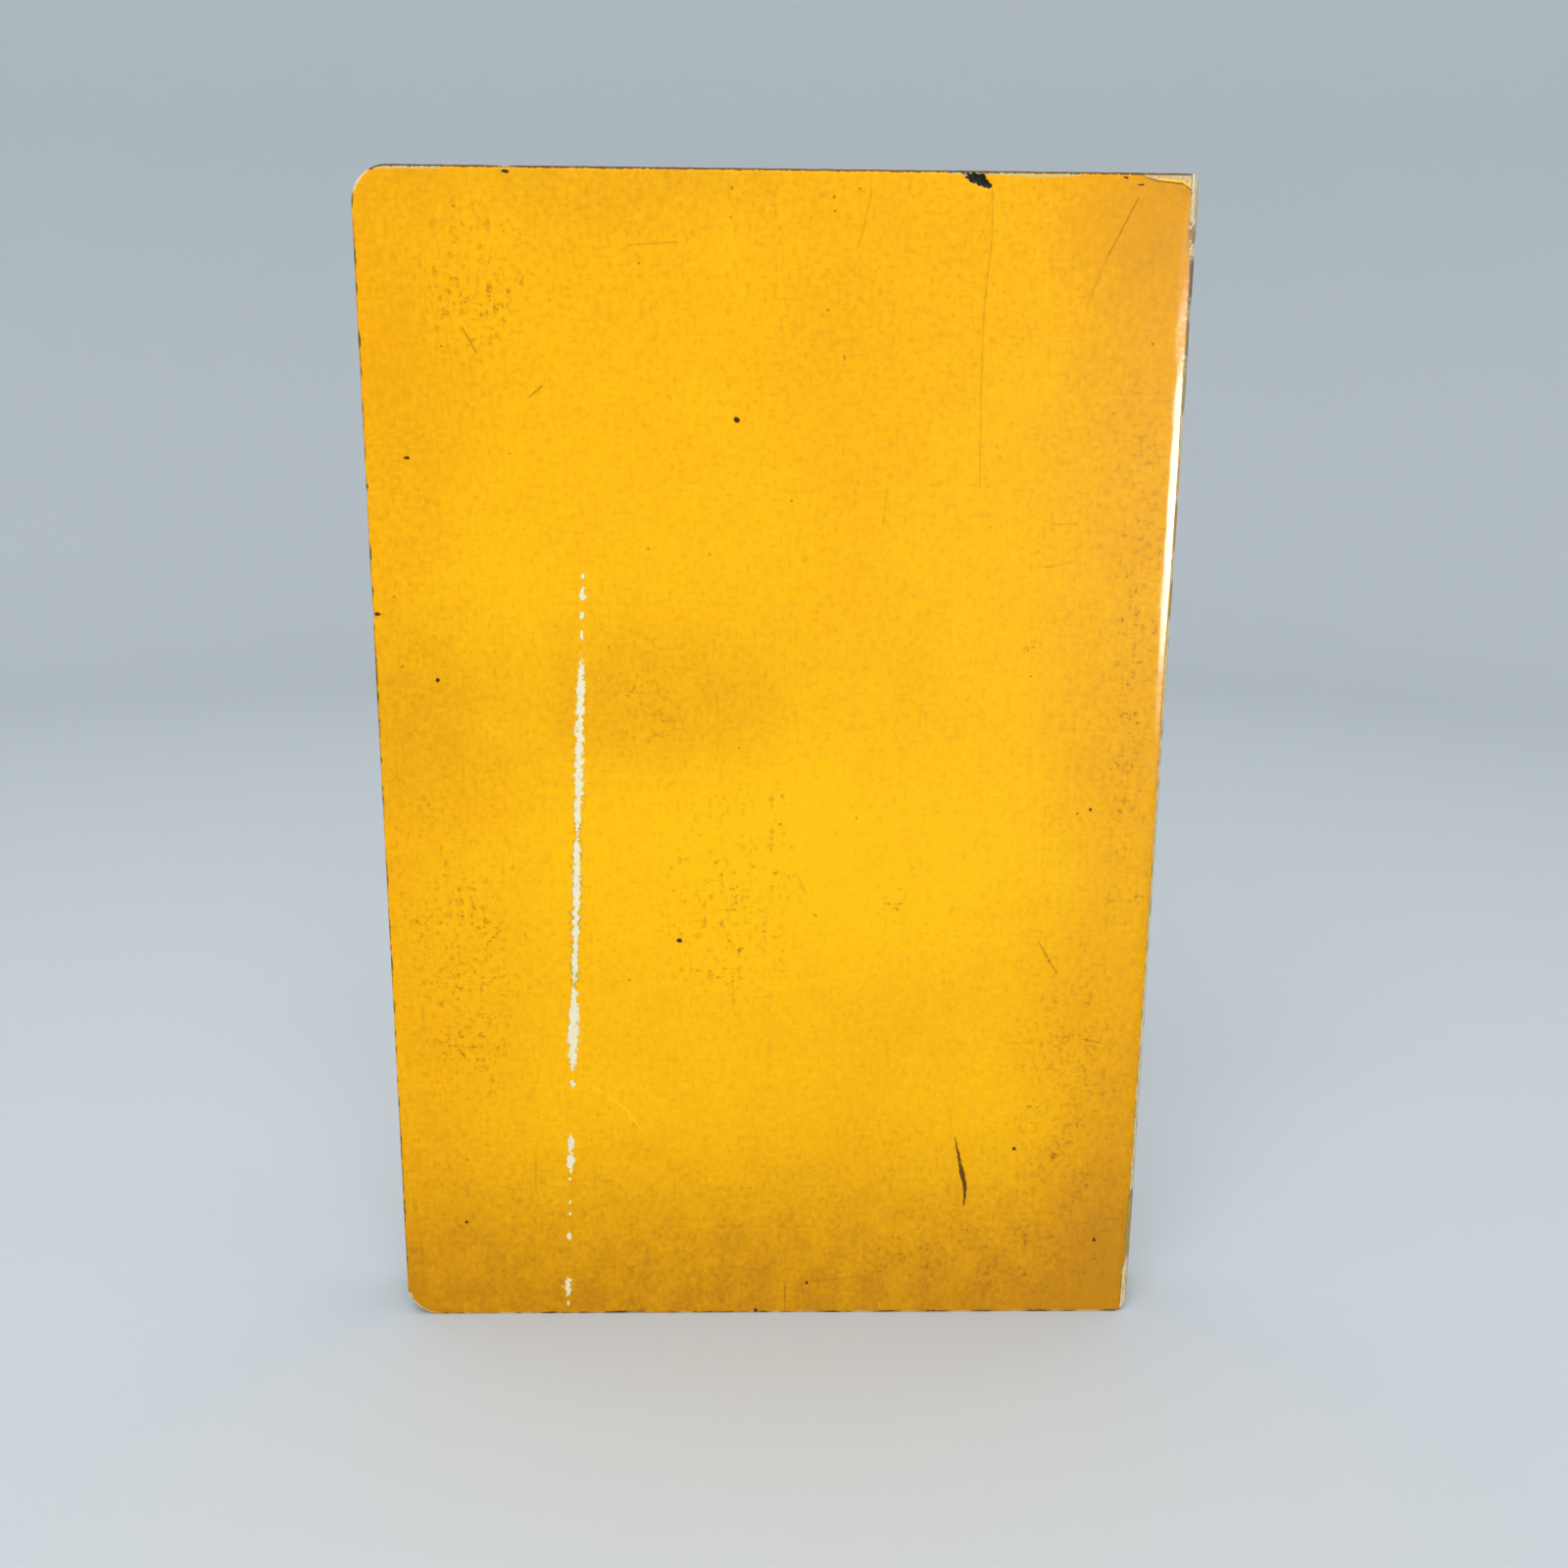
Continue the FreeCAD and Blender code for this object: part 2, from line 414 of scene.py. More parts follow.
@dataclass
class CardPart:
    """One stretch of the cover card, built flat, trimmed, worn and then folded into place."""

    name: str
    node: str
    side: Side
    start: float
    stop: float
    cells: tuple[int, int]
    seams: tuple[float, ...]
    wear: CardWear
    soil_and_light: SoilAndLight
    far_soil_and_light: SoilAndLight
    patches: tuple[tuple[float, float, float, float], ...] = ()
    book: BookSizes = field(default_factory=BookSizes)
    rim_radius: float = 0.12
    sharp_from: float = math.radians(60)

    def seed(self, along: float) -> float:
        """The noise seed of the half of the card that a place is on."""
        far_half = along > self.book.spine_middle
        front = (self.side is Side.FRONT) != far_half
        return FRONT_SEED if front else BACK_SEED

    def near_half(self, along: float) -> float:
        """A place along the card, measured from the cover that it is nearer to."""
        middle = self.book.spine_middle
        return 2 * middle - along if along > middle else along

    def on_seam(self, vert: bmesh.types.BMVert) -> bool:
        """Whether a vertex is where this part meets the next, and so isn't a free rim."""
        return any(abs(vert.co.x - seam) < NEAR for seam in self.seams)

    def lay_flat(self) -> bmesh.types.BMesh:
        """The card's outer face as a flat grid with its fore corners rounded."""
        mesh = bmesh.new()
        bmesh.ops.create_grid(mesh, x_segments=self.cells[0], y_segments=self.cells[1], size=0.5)
        middle = Vector(((self.start + self.stop) / 2, 0.0, self.book.height / 2))
        stretch = Matrix.Diagonal((self.stop - self.start, self.book.height, 1.0, 1.0))
        upright = Matrix.Translation(middle) @ Matrix.Rotation(math.pi / 2, 4, "X")
        bmesh.ops.transform(mesh, matrix=upright @ stretch, verts=mesh.verts)
        for left, right, low, high in self.patches:
            inside = [
                edge
                for edge in mesh.edges
                if all(left < v.co.x < right and low < v.co.z < high for v in edge.verts)
            ]
            bmesh.ops.subdivide_edges(mesh, edges=inside, cuts=2, use_grid_fill=True)
        if self.start < 0:
            self.book.round_fore_corners(mesh)
        return mesh

    def wear_rim(self, mesh: bmesh.types.BMesh) -> None:
        """Moves the free rim in by what it has lost."""
        for vert in [v for v in mesh.verts if v.is_boundary]:
            along = self.near_half(vert.co.x)
            at_end = min(vert.co.z, self.book.height - vert.co.z) < NEAR
            if self.on_seam(vert) and not at_end:
                continue
            loss = self.wear.rim_loss(along, vert.co.z, self.seed(vert.co.x))
            vert.co += self.book.inward(along, vert.co.z) * loss

    def thicken(self, mesh: bmesh.types.BMesh) -> None:
        """Gives the card its thickness and softens its rim."""
        made = bmesh.ops.extrude_face_region(mesh, geom=list(mesh.faces))
        inner = [item for item in made["geom"] if isinstance(item, bmesh.types.BMVert)]
        bmesh.ops.translate(mesh, vec=(0.0, self.book.card, 0.0), verts=inner)
        bmesh.ops.recalc_face_normals(mesh, faces=mesh.faces)
        rim = [
            edge
            for edge in mesh.edges
            if edge.is_manifold
            and edge.calc_face_angle() > self.sharp_from
            and not all(self.on_seam(v) for v in edge.verts)
        ]
        bmesh.ops.bevel(
            mesh,
            geom=rim,
            offset=self.rim_radius,
            segments=2,
            profile=0.5,
            affect="EDGES",
            material=-1,
            clamp_overlap=True,
        )

    def fold(self, mesh: bmesh.types.BMesh) -> None:
        """Presses the wear into the surface, keeps each flat place, and folds the card."""
        for name in (FLAT_PLACE, SOIL_AND_LIGHT, RIM):
            mesh.verts.layers.float_vector.new(name)
        place_layer, soil_and_light_layer, rim_layer = (
            mesh.verts.layers.float_vector[name] for name in (FLAT_PLACE, SOIL_AND_LIGHT, RIM)
        )
        for vert in mesh.verts:
            along, depth, up = vert.co
            near = self.near_half(along)
            seed = self.seed(along)
            soil_and_light = self.far_soil_and_light if along > self.book.spine_middle else self.soil_and_light
            vert[soil_and_light_layer] = soil_and_light.at(near, up, seed)
            vert[rim_layer] = SoilAndLight.rim_at(self.book, near, up, seed)
            share = max(0.0, 1.0 - depth / self.book.card)
            sunk = self.wear.sink(near, up, seed, self.book)
            folded = self.book.fold(Vector((along, depth + sunk * share, up)), self.side)
            vert[place_layer] = Vector((along, depth, folded.z))
            vert.co = folded

    def build(self) -> bpy.types.Object:
        """Makes the part.

        Returns:
            The finished mesh object, standing for its CAD node.
        """
        mesh = self.lay_flat()
        self.wear_rim(mesh)
        self.thicken(mesh)
        self.fold(mesh)
        piece = finish_mesh(self.name, mesh)
        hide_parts(self.node)
        return piece


@dataclass
class LeafBlock:
    """The trimmed leaves, built ring by ring so that each leaf shows at the edges."""

    book: BookSizes = field(default_factory=BookSizes)
    leaves: int = 96
    clearance: float = 0.025
    trim_wobble: float = 0.05
    gap_depth: float = 0.09
    gap_share: float = 0.16
    squeeze_from: float = 57.0
    glued_radius: float = 1.4
    short_of_crease: float = 0.05
    cells: tuple[int, int] = (26, 28)
    trim_seed: int = 11

    @property
    def spine_end(self) -> float:
        """Where the leaves end at the spine glue."""
        return self.book.width / 2 - self.book.card - self.book.spine_glue

    @property
    def half_depth(self) -> float:
        """Half the depth of the block, just clear of the covers."""
        return self.book.thickness / 2 - self.book.card - self.clearance

    def end_at(self, out: float) -> float:
        """How far the leaf at this distance from the middle reaches towards the spine."""
        glued = self.book.thickness / 2 - self.book.card - self.book.side_glue
        if abs(out) > glued:
            return self.book.crease - self.short_of_crease
        past = abs(out) - (glued - self.glued_radius)
        if past <= 0:
            return self.spine_end
        return self.spine_end - self.glued_radius + math.sqrt(self.glued_radius**2 - past**2)

    @staticmethod
    def spread(share: float, stops: tuple[tuple[float, float], ...]) -> float:
        """Moves an even share along a grid to an uneven place, to put cells where they bend."""
        for low, high in zip(stops, stops[1:]):
            if share <= high[0] + 1e-6:
                part = (share - low[0]) / (high[0] - low[0])
                return low[1] + part * (high[1] - low[1])
        return stops[-1][1]

    def first_leaf(self) -> bmesh.types.BMesh:
        """A flat grid with the outline of one leaf, finer at its corners and at the spine."""
        mesh = bmesh.new()
        bmesh.ops.create_grid(mesh, x_segments=self.cells[0], y_segments=self.cells[1], size=0.5)
        bmesh.ops.rotate(mesh, matrix=Matrix.Rotation(math.pi / 2, 3, "X"), verts=mesh.verts)
        fore = -self.book.width / 2
        corner = self.book.fore_corner
        height = self.book.height
        across = ((0.0, fore), (0.25, fore + corner), (0.7, self.squeeze_from), (1.0, self.spine_end))
        up = ((0.0, 0.0), (0.22, corner), (0.78, height - corner), (1.0, height))
        for vert in mesh.verts:
            vert.co.x = self.spread(vert.co.x + 0.5, across)
            vert.co.z = self.spread(vert.co.z + 0.5, up)
        self.book.round_fore_corners(mesh)
        return mesh

    def place(
        self, vert: bmesh.types.BMVert, flat: Vector, inward: Vector, out: float, inset: float
    ) -> None:
        """Puts one vertex of a leaf at its depth in the block.

        Args:
            vert: The vertex to move.
            flat: Its place on the trimmed leaf.
            inward: The way from the trimmed edge to the inside, or zero within the leaf.
            out: The leaf's place through the block.
            inset: How far this leaf's edge lies in from the trim.
        """
        reach = self.spine_end - self.squeeze_from
        across = flat.x
        if across > self.squeeze_from:
            share = (across - self.squeeze_from) / reach
            across = self.squeeze_from + share * (self.end_at(out) - self.squeeze_from)
        across += inward.x * inset
        up = self.book.worn_end(across, flat.z) + inward.z * inset
        vert.co = Vector((across, out, up))

    def build(self) -> bpy.types.Object:
        """Makes the block.

        Returns:
            The finished mesh object, standing for its CAD node.
        """
        draw = random.Random(self.trim_seed)
        mesh = self.first_leaf()
        flat_layer = mesh.verts.layers.float_vector.new("leaf_place")
        inward_layer = mesh.verts.layers.float_vector.new("inward")
        for vert in mesh.verts:
            vert[flat_layer] = vert.co.copy()
            if vert.is_boundary and vert.co.x < self.spine_end - NEAR:
                vert[inward_layer] = self.book.inward(vert.co.x, vert.co.z)
        thick = 2 * self.half_depth / self.leaves
        insets = [draw.uniform(0.0, self.trim_wobble) for _ in range(self.leaves)]
        for vert in mesh.verts:
            self.place(vert, vert[flat_layer], vert[inward_layer], -self.half_depth, insets[0])
        cap = list(mesh.faces)  # With no edges among them, the first extrusion keeps this face.
        for leaf in range(self.leaves):
            start = -self.half_depth + leaf * thick
            gap = thick * self.gap_share
            levels = [(start + thick, insets[leaf])]
            if leaf < self.leaves - 1:
                deep = max(insets[leaf], insets[leaf + 1]) + self.gap_depth * draw.uniform(0.4, 1.0)
                levels = [
                    (start + thick - gap, insets[leaf]),
                    (start + thick, deep),
                    (start + thick + gap, insets[leaf + 1]),
                ]
            for out, inset in levels:
                cap = bmesh.ops.extrude_face_region(mesh, geom=cap)["geom"]
                for vert in [item for item in cap if isinstance(item, bmesh.types.BMVert)]:
                    self.place(vert, vert[flat_layer], vert[inward_layer], out, inset)
        layers = mesh.verts.layers.float_vector
        for name in ("leaf_place", "inward"):
            layers.remove(layers[name])
        piece = finish_mesh("leaf_block", mesh)
        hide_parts("page_block")
        return piece


class Signal:
    """A socket's value in a material, on which Python's operators add Math nodes."""

    def __init__(self, bench: "Bench", socket: bpy.types.NodeSocket) -> None:
        """Keeps the socket and the bench that its nodes are on."""
        self.bench = bench
        self.socket = socket

    def __add__(self, other: "Signal | float") -> "Signal":
        """The sum."""
        return self.bench.math("ADD", self, other)

    def __radd__(self, other: float) -> "Signal":
        """The sum, with a number first."""
        return self.bench.math("ADD", other, self)

    def __sub__(self, other: "Signal | float") -> "Signal":
        """The difference."""
        return self.bench.math("SUBTRACT", self, other)

    def __rsub__(self, other: float) -> "Signal":
        """The difference, with a number first."""
        return self.bench.math("SUBTRACT", other, self)

    def __mul__(self, other: "Signal | float") -> "Signal":
        """The product."""
        return self.bench.math("MULTIPLY", self, other)

    def __rmul__(self, other: float) -> "Signal":
        """The product, with a number first."""
        return self.bench.math("MULTIPLY", other, self)

    def __truediv__(self, other: "Signal | float") -> "Signal":
        """The quotient."""
        return self.bench.math("DIVIDE", self, other)

    def __abs__(self) -> "Signal":
        """The distance from nought."""
        return self.bench.math("ABSOLUTE", self)

    def at_most(self, other: "Signal | float") -> "Signal":
        """The smaller of the two."""
        return self.bench.math("MINIMUM", self, other)

    def at_least(self, other: "Signal | float") -> "Signal":
        """The larger of the two."""
        return self.bench.math("MAXIMUM", self, other)

    def fade(self, none: float, full: float) -> "Signal":
        """A soft mask that is 0 at one value and 1 at the other."""
        inputs = {"Value": self, "From Min": none, "From Max": full}
        return self.bench.node("ShaderNodeMapRange", {"interpolation_type": "SMOOTHSTEP"}, inputs)


Value = Signal | float | Colour


class Bench:
    """The node tree of one material, and the only place where nodes are added."""

    def __init__(self, name: str) -> None:
        """Starts a material with an empty tree."""
        self.material = bpy.data.materials.new(name)
        self.material.use_nodes = True
        self.nodes = self.material.node_tree.nodes
        self.links = self.material.node_tree.links
        self.nodes.clear()

    @staticmethod
    def _socket(sockets: bpy.types.bpy_prop_collection, key: int | str) -> bpy.types.NodeSocket:
        """Finds a socket by its number, its identifier or its name."""
        if isinstance(key, int):
            return sockets[key]
        for socket in sockets:
            if key == socket.identifier:
                return socket
        return sockets[key]

    def node(
        self,
        kind: str,
        settings: dict[str, object],
        inputs: dict[int | str, Value],
        output: int | str = 0,
        stops: tuple[tuple[float, Colour], ...] = (),
    ) -> Signal:
        """Adds one node.

        Args:
            kind: The node's type.
            settings: Its settings, which are made first.
            inputs: The values or links of its sockets.
            output: The output to go on from.
            stops: The places and colours of a colour ramp.

        Returns:
            The output as a signal.
        """
        made = self.nodes.new(kind)
        for key, setting in settings.items():
            setattr(made, key, setting)
        if stops:
            elements = made.color_ramp.elements
            while len(elements) < len(stops):
                elements.new(1.0)
            for element, (position, colour) in zip(elements, stops):
                element.position = position
                element.color = (*colour, 1.0)
        for key, value in inputs.items():
            socket = self._socket(made.inputs, key)
            if isinstance(value, Signal):
                self.links.new(value.socket, socket)
            elif socket.type == "RGBA":
                socket.default_value = (*value, 1.0)
            else:
                socket.default_value = value
        return Signal(self, self._socket(made.outputs, output))

    def math(self, operation: str, *values: Value) -> Signal:
        """One Math node."""
        return self.node("ShaderNodeMath", {"operation": operation}, dict(enumerate(values)))

    def vector(self, operation: str, *values: Value, output: int | str = 0) -> Signal:
        """One Vector Math node."""
        settings = {"operation": operation}
        return self.node("ShaderNodeVectorMath", settings, dict(enumerate(values)), output)

    def mix(self, share: Value, under: Value, over: Value, blend: str = "MIX") -> Signal:
        """One colour laid over another."""
        inputs = {"Factor_Float": share, "A_Color": under, "B_Color": over}
        settings = {"data_type": "RGBA", "blend_type": blend}
        return self.node("ShaderNodeMix", settings, inputs, "Result_Color")

    def noise(
        self,
        place: Signal,
        stretch: Colour,
        detail: float = 3.0,
        roughness: float = 0.55,
        output: int = 0,
    ) -> Signal:
        """Soft noise over a place in millimetres, stretched by its cycles per millimetre."""
        scaled = self.vector("MULTIPLY", place, stretch)
        inputs = {"Vector": scaled, "Scale": 1.0, "Detail": detail, "Roughness": roughness}
        return self.node("ShaderNodeTexNoise", {"noise_dimensions": "3D"}, inputs, output)

    def attribute(self, name: str) -> Signal:
        """A vector that the mesh's points carry."""
        settings = {"attribute_type": "GEOMETRY", "attribute_name": name}
        return self.node("ShaderNodeAttribute", settings, {}, "Vector")

    def parts(self, vector: Signal) -> tuple[Signal, Signal, Signal]:
        """The three numbers of a vector."""
        outputs = self.node("ShaderNodeSeparateXYZ", {}, {0: vector}).socket.node.outputs
        return Signal(self, outputs[0]), Signal(self, outputs[1]), Signal(self, outputs[2])

    def first(self, vector: Signal) -> Signal:
        """The first number of a vector or a colour."""
        return self.vector("DOT_PRODUCT", vector, (1.0, 0.0, 0.0), output="Value")

    def ramp(
        self, value: Signal, stops: tuple[tuple[float, Colour], ...], steps: bool = False
    ) -> Signal:
        """Colours along a value from 0 to 1."""
        made = self.node("ShaderNodeValToRGB", {}, {0: value}, 0, stops)
        made.socket.node.color_ramp.interpolation = "CONSTANT" if steps else "LINEAR"
        return made

    def finish(
        self, colour: Signal, roughness: Value, height: Signal, specular: float = 0.5
    ) -> bpy.types.Material:
        """Joins colour, roughness and a height in millimetres to the shader.

        Args:
            colour: The surface colour.
            roughness: Its roughness.
            height: Its fine relief, in millimetres.
            specular: How strongly it shines.

        Returns:
            The finished material.
        """
        bump = self.node("ShaderNodeBump", {}, {"Strength": 1.0, "Distance": MM, "Height": height})
        inputs = {"Base Color": colour, "Roughness": roughness, "Normal": bump}
        inputs["Specular IOR Level"] = specular
        shader = self.node("ShaderNodeBsdfPrincipled", {}, inputs)
        self.node_output(shader)
        return self.material

    def node_output(self, shader: Signal) -> None:
        """Joins a shader to the material's surface."""
        made = self.nodes.new("ShaderNodeOutputMaterial")
        self.links.new(shader.socket, made.inputs["Surface"])


@dataclass(frozen=True)
class CoverMarks:
    """The sharp marks of one cover, each a place in millimetres on the flat card."""

    spots: tuple[Blot, ...] = ()
    scratches: tuple[tuple[tuple[float, float], ...], ...] = ()
    creases: tuple[tuple[tuple[float, float], ...], ...] = ()
    photographed: bool = False


BACK_SPOTS = blots(
    (-6.2, 153.5, 0.45), (-15.6, 69.15, 0.5, 0.36), (6.3, 5.9, 0.32), (-51.0, 164.0, 0.22),
    (-48.4, 184.2, 0.25), (-20.9, 176.3, 0.2), (-6.9, 187.1, 0.25), (-7.1, 183.0, 0.2),
    (8.3, 186.0, 0.25), (8.5, 184.1, 0.2), (12.2, 187.2, 0.2), (7.6, 169.9, 0.22),
    (10.3, 162.9, 0.2, 0.5), (57.5, 165.3, 0.25), (58.7, 165.0, 0.22), (52.0, 154.9, 0.2),
    (-60.0, 125.9, 0.22), (-59.2, 114.9, 0.25), (-53.7, 112.8, 0.3), (-41.2, 148.1, 0.2),
    (-26.5, 118.1, 0.22), (-52.8, 17.8, 0.3), (-52.2, 29.5, 0.25), (-57.0, 147.4, 0.5, 0.3),
    (2.4, 141.3, 0.25), (-20.0, 133.8, 0.2), (41.1, 113.8, 0.2), (51.8, 91.8, 0.3),
    (49.7, 91.1, 0.22), (-5.7, 101.9, 0.2), (13.5, 90.2, 0.2), (7.0, 73.6, 0.25),
    (46.3, 65.6, 0.25), (47.8, 58.4, 0.22), (41.8, 31.4, 0.35), (-3.7, 24.1, 0.22),
    (18.9, 12.4, 0.25), (37.9, 7.7, 0.25), (56.6, 14.0, 0.3), (57.0, 10.3, 0.25),
    (-10.4, 132.9, 0.2), (1.0, 89.1, 0.22), (-24.0, 62.2, 0.2), (-40.6, 189.1, 0.65, 0.28),
    (-62.7, 123.2, 0.5, 0.3), (51.9, 189.2, 0.45, 0.18), (54.3, 188.3, 0.55, 0.16),
    (-2.6, 0.45, 0.4), (-25.0, 0.3, 3.2, 0.22),
)

BACK_SMUDGES = blots(
    (-41.4, 181.3, 2.0), (-2.0, 183.6, 4.5, 1.3), (37.5, 166.5, 1.2), (25.5, 5.4, 1.6),
    (0.7, 93.5, 2.5), (3.7, 85.2, 1.5), (-11.5, 79.8, 3.0), (-11.6, 63.3, 3.5, 2.0),
    (-55.7, 90.8, 4.0), (-59.7, 73.3, 3.0), (-50.0, 49.0, 9.0), (60.1, 75.9, 2.0),
    (40.8, 118.5, 1.5), (46.6, 89.2, 2.0), (57.0, 114.3, 2.2), (10.5, 87.5, 1.5),
    (-21.6, 111.0, 4.0), (-19.5, 105.0, 4.0), (19.7, 75.2, 4.0), (14.9, 57.1, 1.5),
    (14.2, 23.3, 1.2), (43.2, 12.0, 2.0), (52.9, 22.9, 4.0), (57.8, 16.6, 4.0),
    (60.1, 6.5, 3.0),
)

# Wide patches where fine brown specks have gathered in the grain.
BACK_SPECKLED = blots(
    (-50.0, 66.0, 12.0, 30.0),
    (-46.0, 172.0, 12.0, 14.0),
    (57.5, 120.0, 5.0, 62.0),
    (50.0, 40.0, 11.0, 30.0),
    (36.0, 10.0, 32.0, 12.0),
    (-7.0, 76.0, 13.0, 22.0),
)

# Broad places that have browned, and a painted sheen: a band across the middle kept lighter, a
# painted reflection of the bright floor.
BACK_STAINS = blots(
    (-58.0, 108.0, 15.0, 14.0),
    (-21.0, 109.0, 20.0, 12.0),
    (-28.0, 192.0, 30.0, 10.0),
    (62.0, 186.0, 13.0, 14.0),
    (62.0, 26.0, 12.0, 24.0),
)
BACK_PAINTED_SHEEN = blots((8.0, 82.0, 58.0, 24.0))

# The black chip at the head, where a flake of print and board has gone.
BACK_CHIP = blots(
    (28.3, 189.2, 0.45),
    (29.2, 188.9, 0.75),
    (30.2, 188.7, 0.8),
    (30.9, 188.2, 0.6),
    (31.4, 187.9, 0.4),
)

BACK_GASH = ((31.5, 33.6), (32.6, 28.5), (33.6, 24.1), (33.5, 20.6))

BACK_SCRATCHES = (
    ((-37.8, 156.7), (-35.9, 158.3)),
    ((-47.7, 166.7), (-45.7, 163.1)),
    ((54.0, 186.4), (50.0, 178.4)),
    ((2.5, 5.7), (2.5, 0.6)),
    ((58.6, 58.6), (61.5, 57.3)),
    ((52.8, 51.6), (55.7, 50.9)),
    ((44.3, 69.0), (47.6, 63.5)),
)

BACK_CREASES = (
    ((50.0, 178.4), (47.0, 170.8)),
    ((58.7, 165.0), (61.2, 163.2)),
    ((3.8, 80.8), (5.3, 77.4)),
    ((14.0, 187.1), (12.6, 180.7), (11.9, 178.7)),
    ((31.9, 187.8), (32.2, 181.0), (31.4, 170.7), (31.3, 162.4), (31.7, 143.5)),
    ((-40.5, 30.1), (-40.6, 24.1)),
    ((43.4, 137.9), (47.0, 138.0)),
    ((42.7, 131.2), (46.6, 132.0)),
    ((17.1, 143.0), (16.8, 137.8)),
    ((7.3, 6.1), (15.9, 7.0)),
    ((48.1, 29.0), (50.6, 30.9)),
    ((-22.6, 178.9), (-15.3, 179.4)),
)

# A faint pale hairline beside the scrape.
BACK_PALE = (((-30.4, 43.0), (-25.0, 39.0), (-22.3, 35.0)),)

# The half width of the long scrape at each height, from the tail up.
SCRAPE_WIDTHS = (
    (0.0, 0.0), (3.1, 0.0), (4.4, 0.38), (5.8, 0.62), (7.3, 0.0), (26.6, 0.0), (28.6, 0.5),
    (31.5, 0.33), (33.2, 0.5), (34.4, 0.0), (42.4, 0.0), (43.4, 0.4), (44.7, 0.0), (45.4, 0.0),
    (47.5, 0.5), (51.5, 0.8), (56.5, 0.78), (60.0, 0.45), (61.4, 0.12), (63.0, 0.4), (70.0, 0.52),
    (78.0, 0.6), (85.5, 0.5), (87.1, 0.05), (89.5, 0.45), (98.0, 0.6), (112.0, 0.5), (118.6, 0.0),
    (125.3, 0.0), (126.6, 0.5), (128.0, 0.0),
)
SCRAPE_DOTS = blots(
    (-30.3, 129.4, 0.28, 0.4),
    (-30.6, 123.2, 0.38, 0.55),
    (-30.7, 120.0, 0.22, 0.8),
    (-34.7, 25.9, 0.25),
    (-34.8, 21.5, 0.2, 0.35),
    (-34.9, 19.3, 0.2, 0.3),
    (-35.1, 15.0, 0.35, 0.65),
    (-35.6, 2.0, 0.25, 0.35),
)
SCRAPE_KNOT = blots((-33.2, 62.4, 0.95, 1.7))
SCRAPE_TOP = (-30.3, 129.4)
SCRAPE_SLOPE = 0.042

PEELED_CORNER = (
    (54.8, 189.45),
    (56.7, 188.9),
    (58.0, 188.8),
    (60.8, 188.5),
    (61.4, 188.0),
    (62.0, 187.6),
    (64.5, 186.5),
)
# The lifted flake of print under the peeled corner, and pale slivers along the head.
FLAKE = (((57.0, 189.1), (58.6, 188.95), (60.5, 188.75), (61.5, 188.2), (62.4, 187.9)),)
HEAD_SLIVERS = (
    ((25.4, 189.7), (33.0, 189.6)),
    ((33.0, 189.6), (39.0, 189.35), (45.0, 189.6)),
    ((-60.0, 189.5), (-50.0, 189.65)),
)

# Where the print ends on the shoulder, as heights and places along the card.
PRINT_END = (
    (0.0, 61.9), (8.8, 62.0), (9.8, 62.3), (21.0, 62.4), (24.0, 62.7), (40.0, 62.6),
    (66.0, 62.8), (79.0, 62.9), (96.0, 62.9), (117.0, 62.85), (150.0, 63.0), (155.0, 62.6),
    (162.0, 62.5), (165.0, 62.8), (171.0, 62.7), (178.0, 62.4), (181.0, 62.0), (190.0, 62.0),
)

CREAM: Colour = (0.70, 0.57, 0.30)
OLIVE: Colour = (0.36, 0.27, 0.03)
BROWN: Colour = (0.26, 0.14, 0.03)
UMBER: Colour = (0.14, 0.065, 0.015)
DARK: Colour = (0.06, 0.03, 0.008)

# The colour of the worn shoulder, from each height up.
SHOULDER_TINTS = (
    (0.0, CREAM), (9.4, OLIVE), (21.2, BROWN), (22.8, CREAM), (122.5, OLIVE), (128.5, CREAM),
    (134.0, OLIVE), (141.0, CREAM), (154.7, OLIVE), (161.6, CREAM), (163.0, BROWN),
    (169.0, CREAM), (171.0, UMBER), (178.0, CREAM), (180.0, BROWN), (182.5, CREAM),
)


@dataclass(frozen=True)
class CardFace:
    """The signals that the marks of one part of the card are made from."""

    bench: Bench
    across: Signal
    up: Signal
    flat: Signal
    shaky: Signal
    bite: Signal


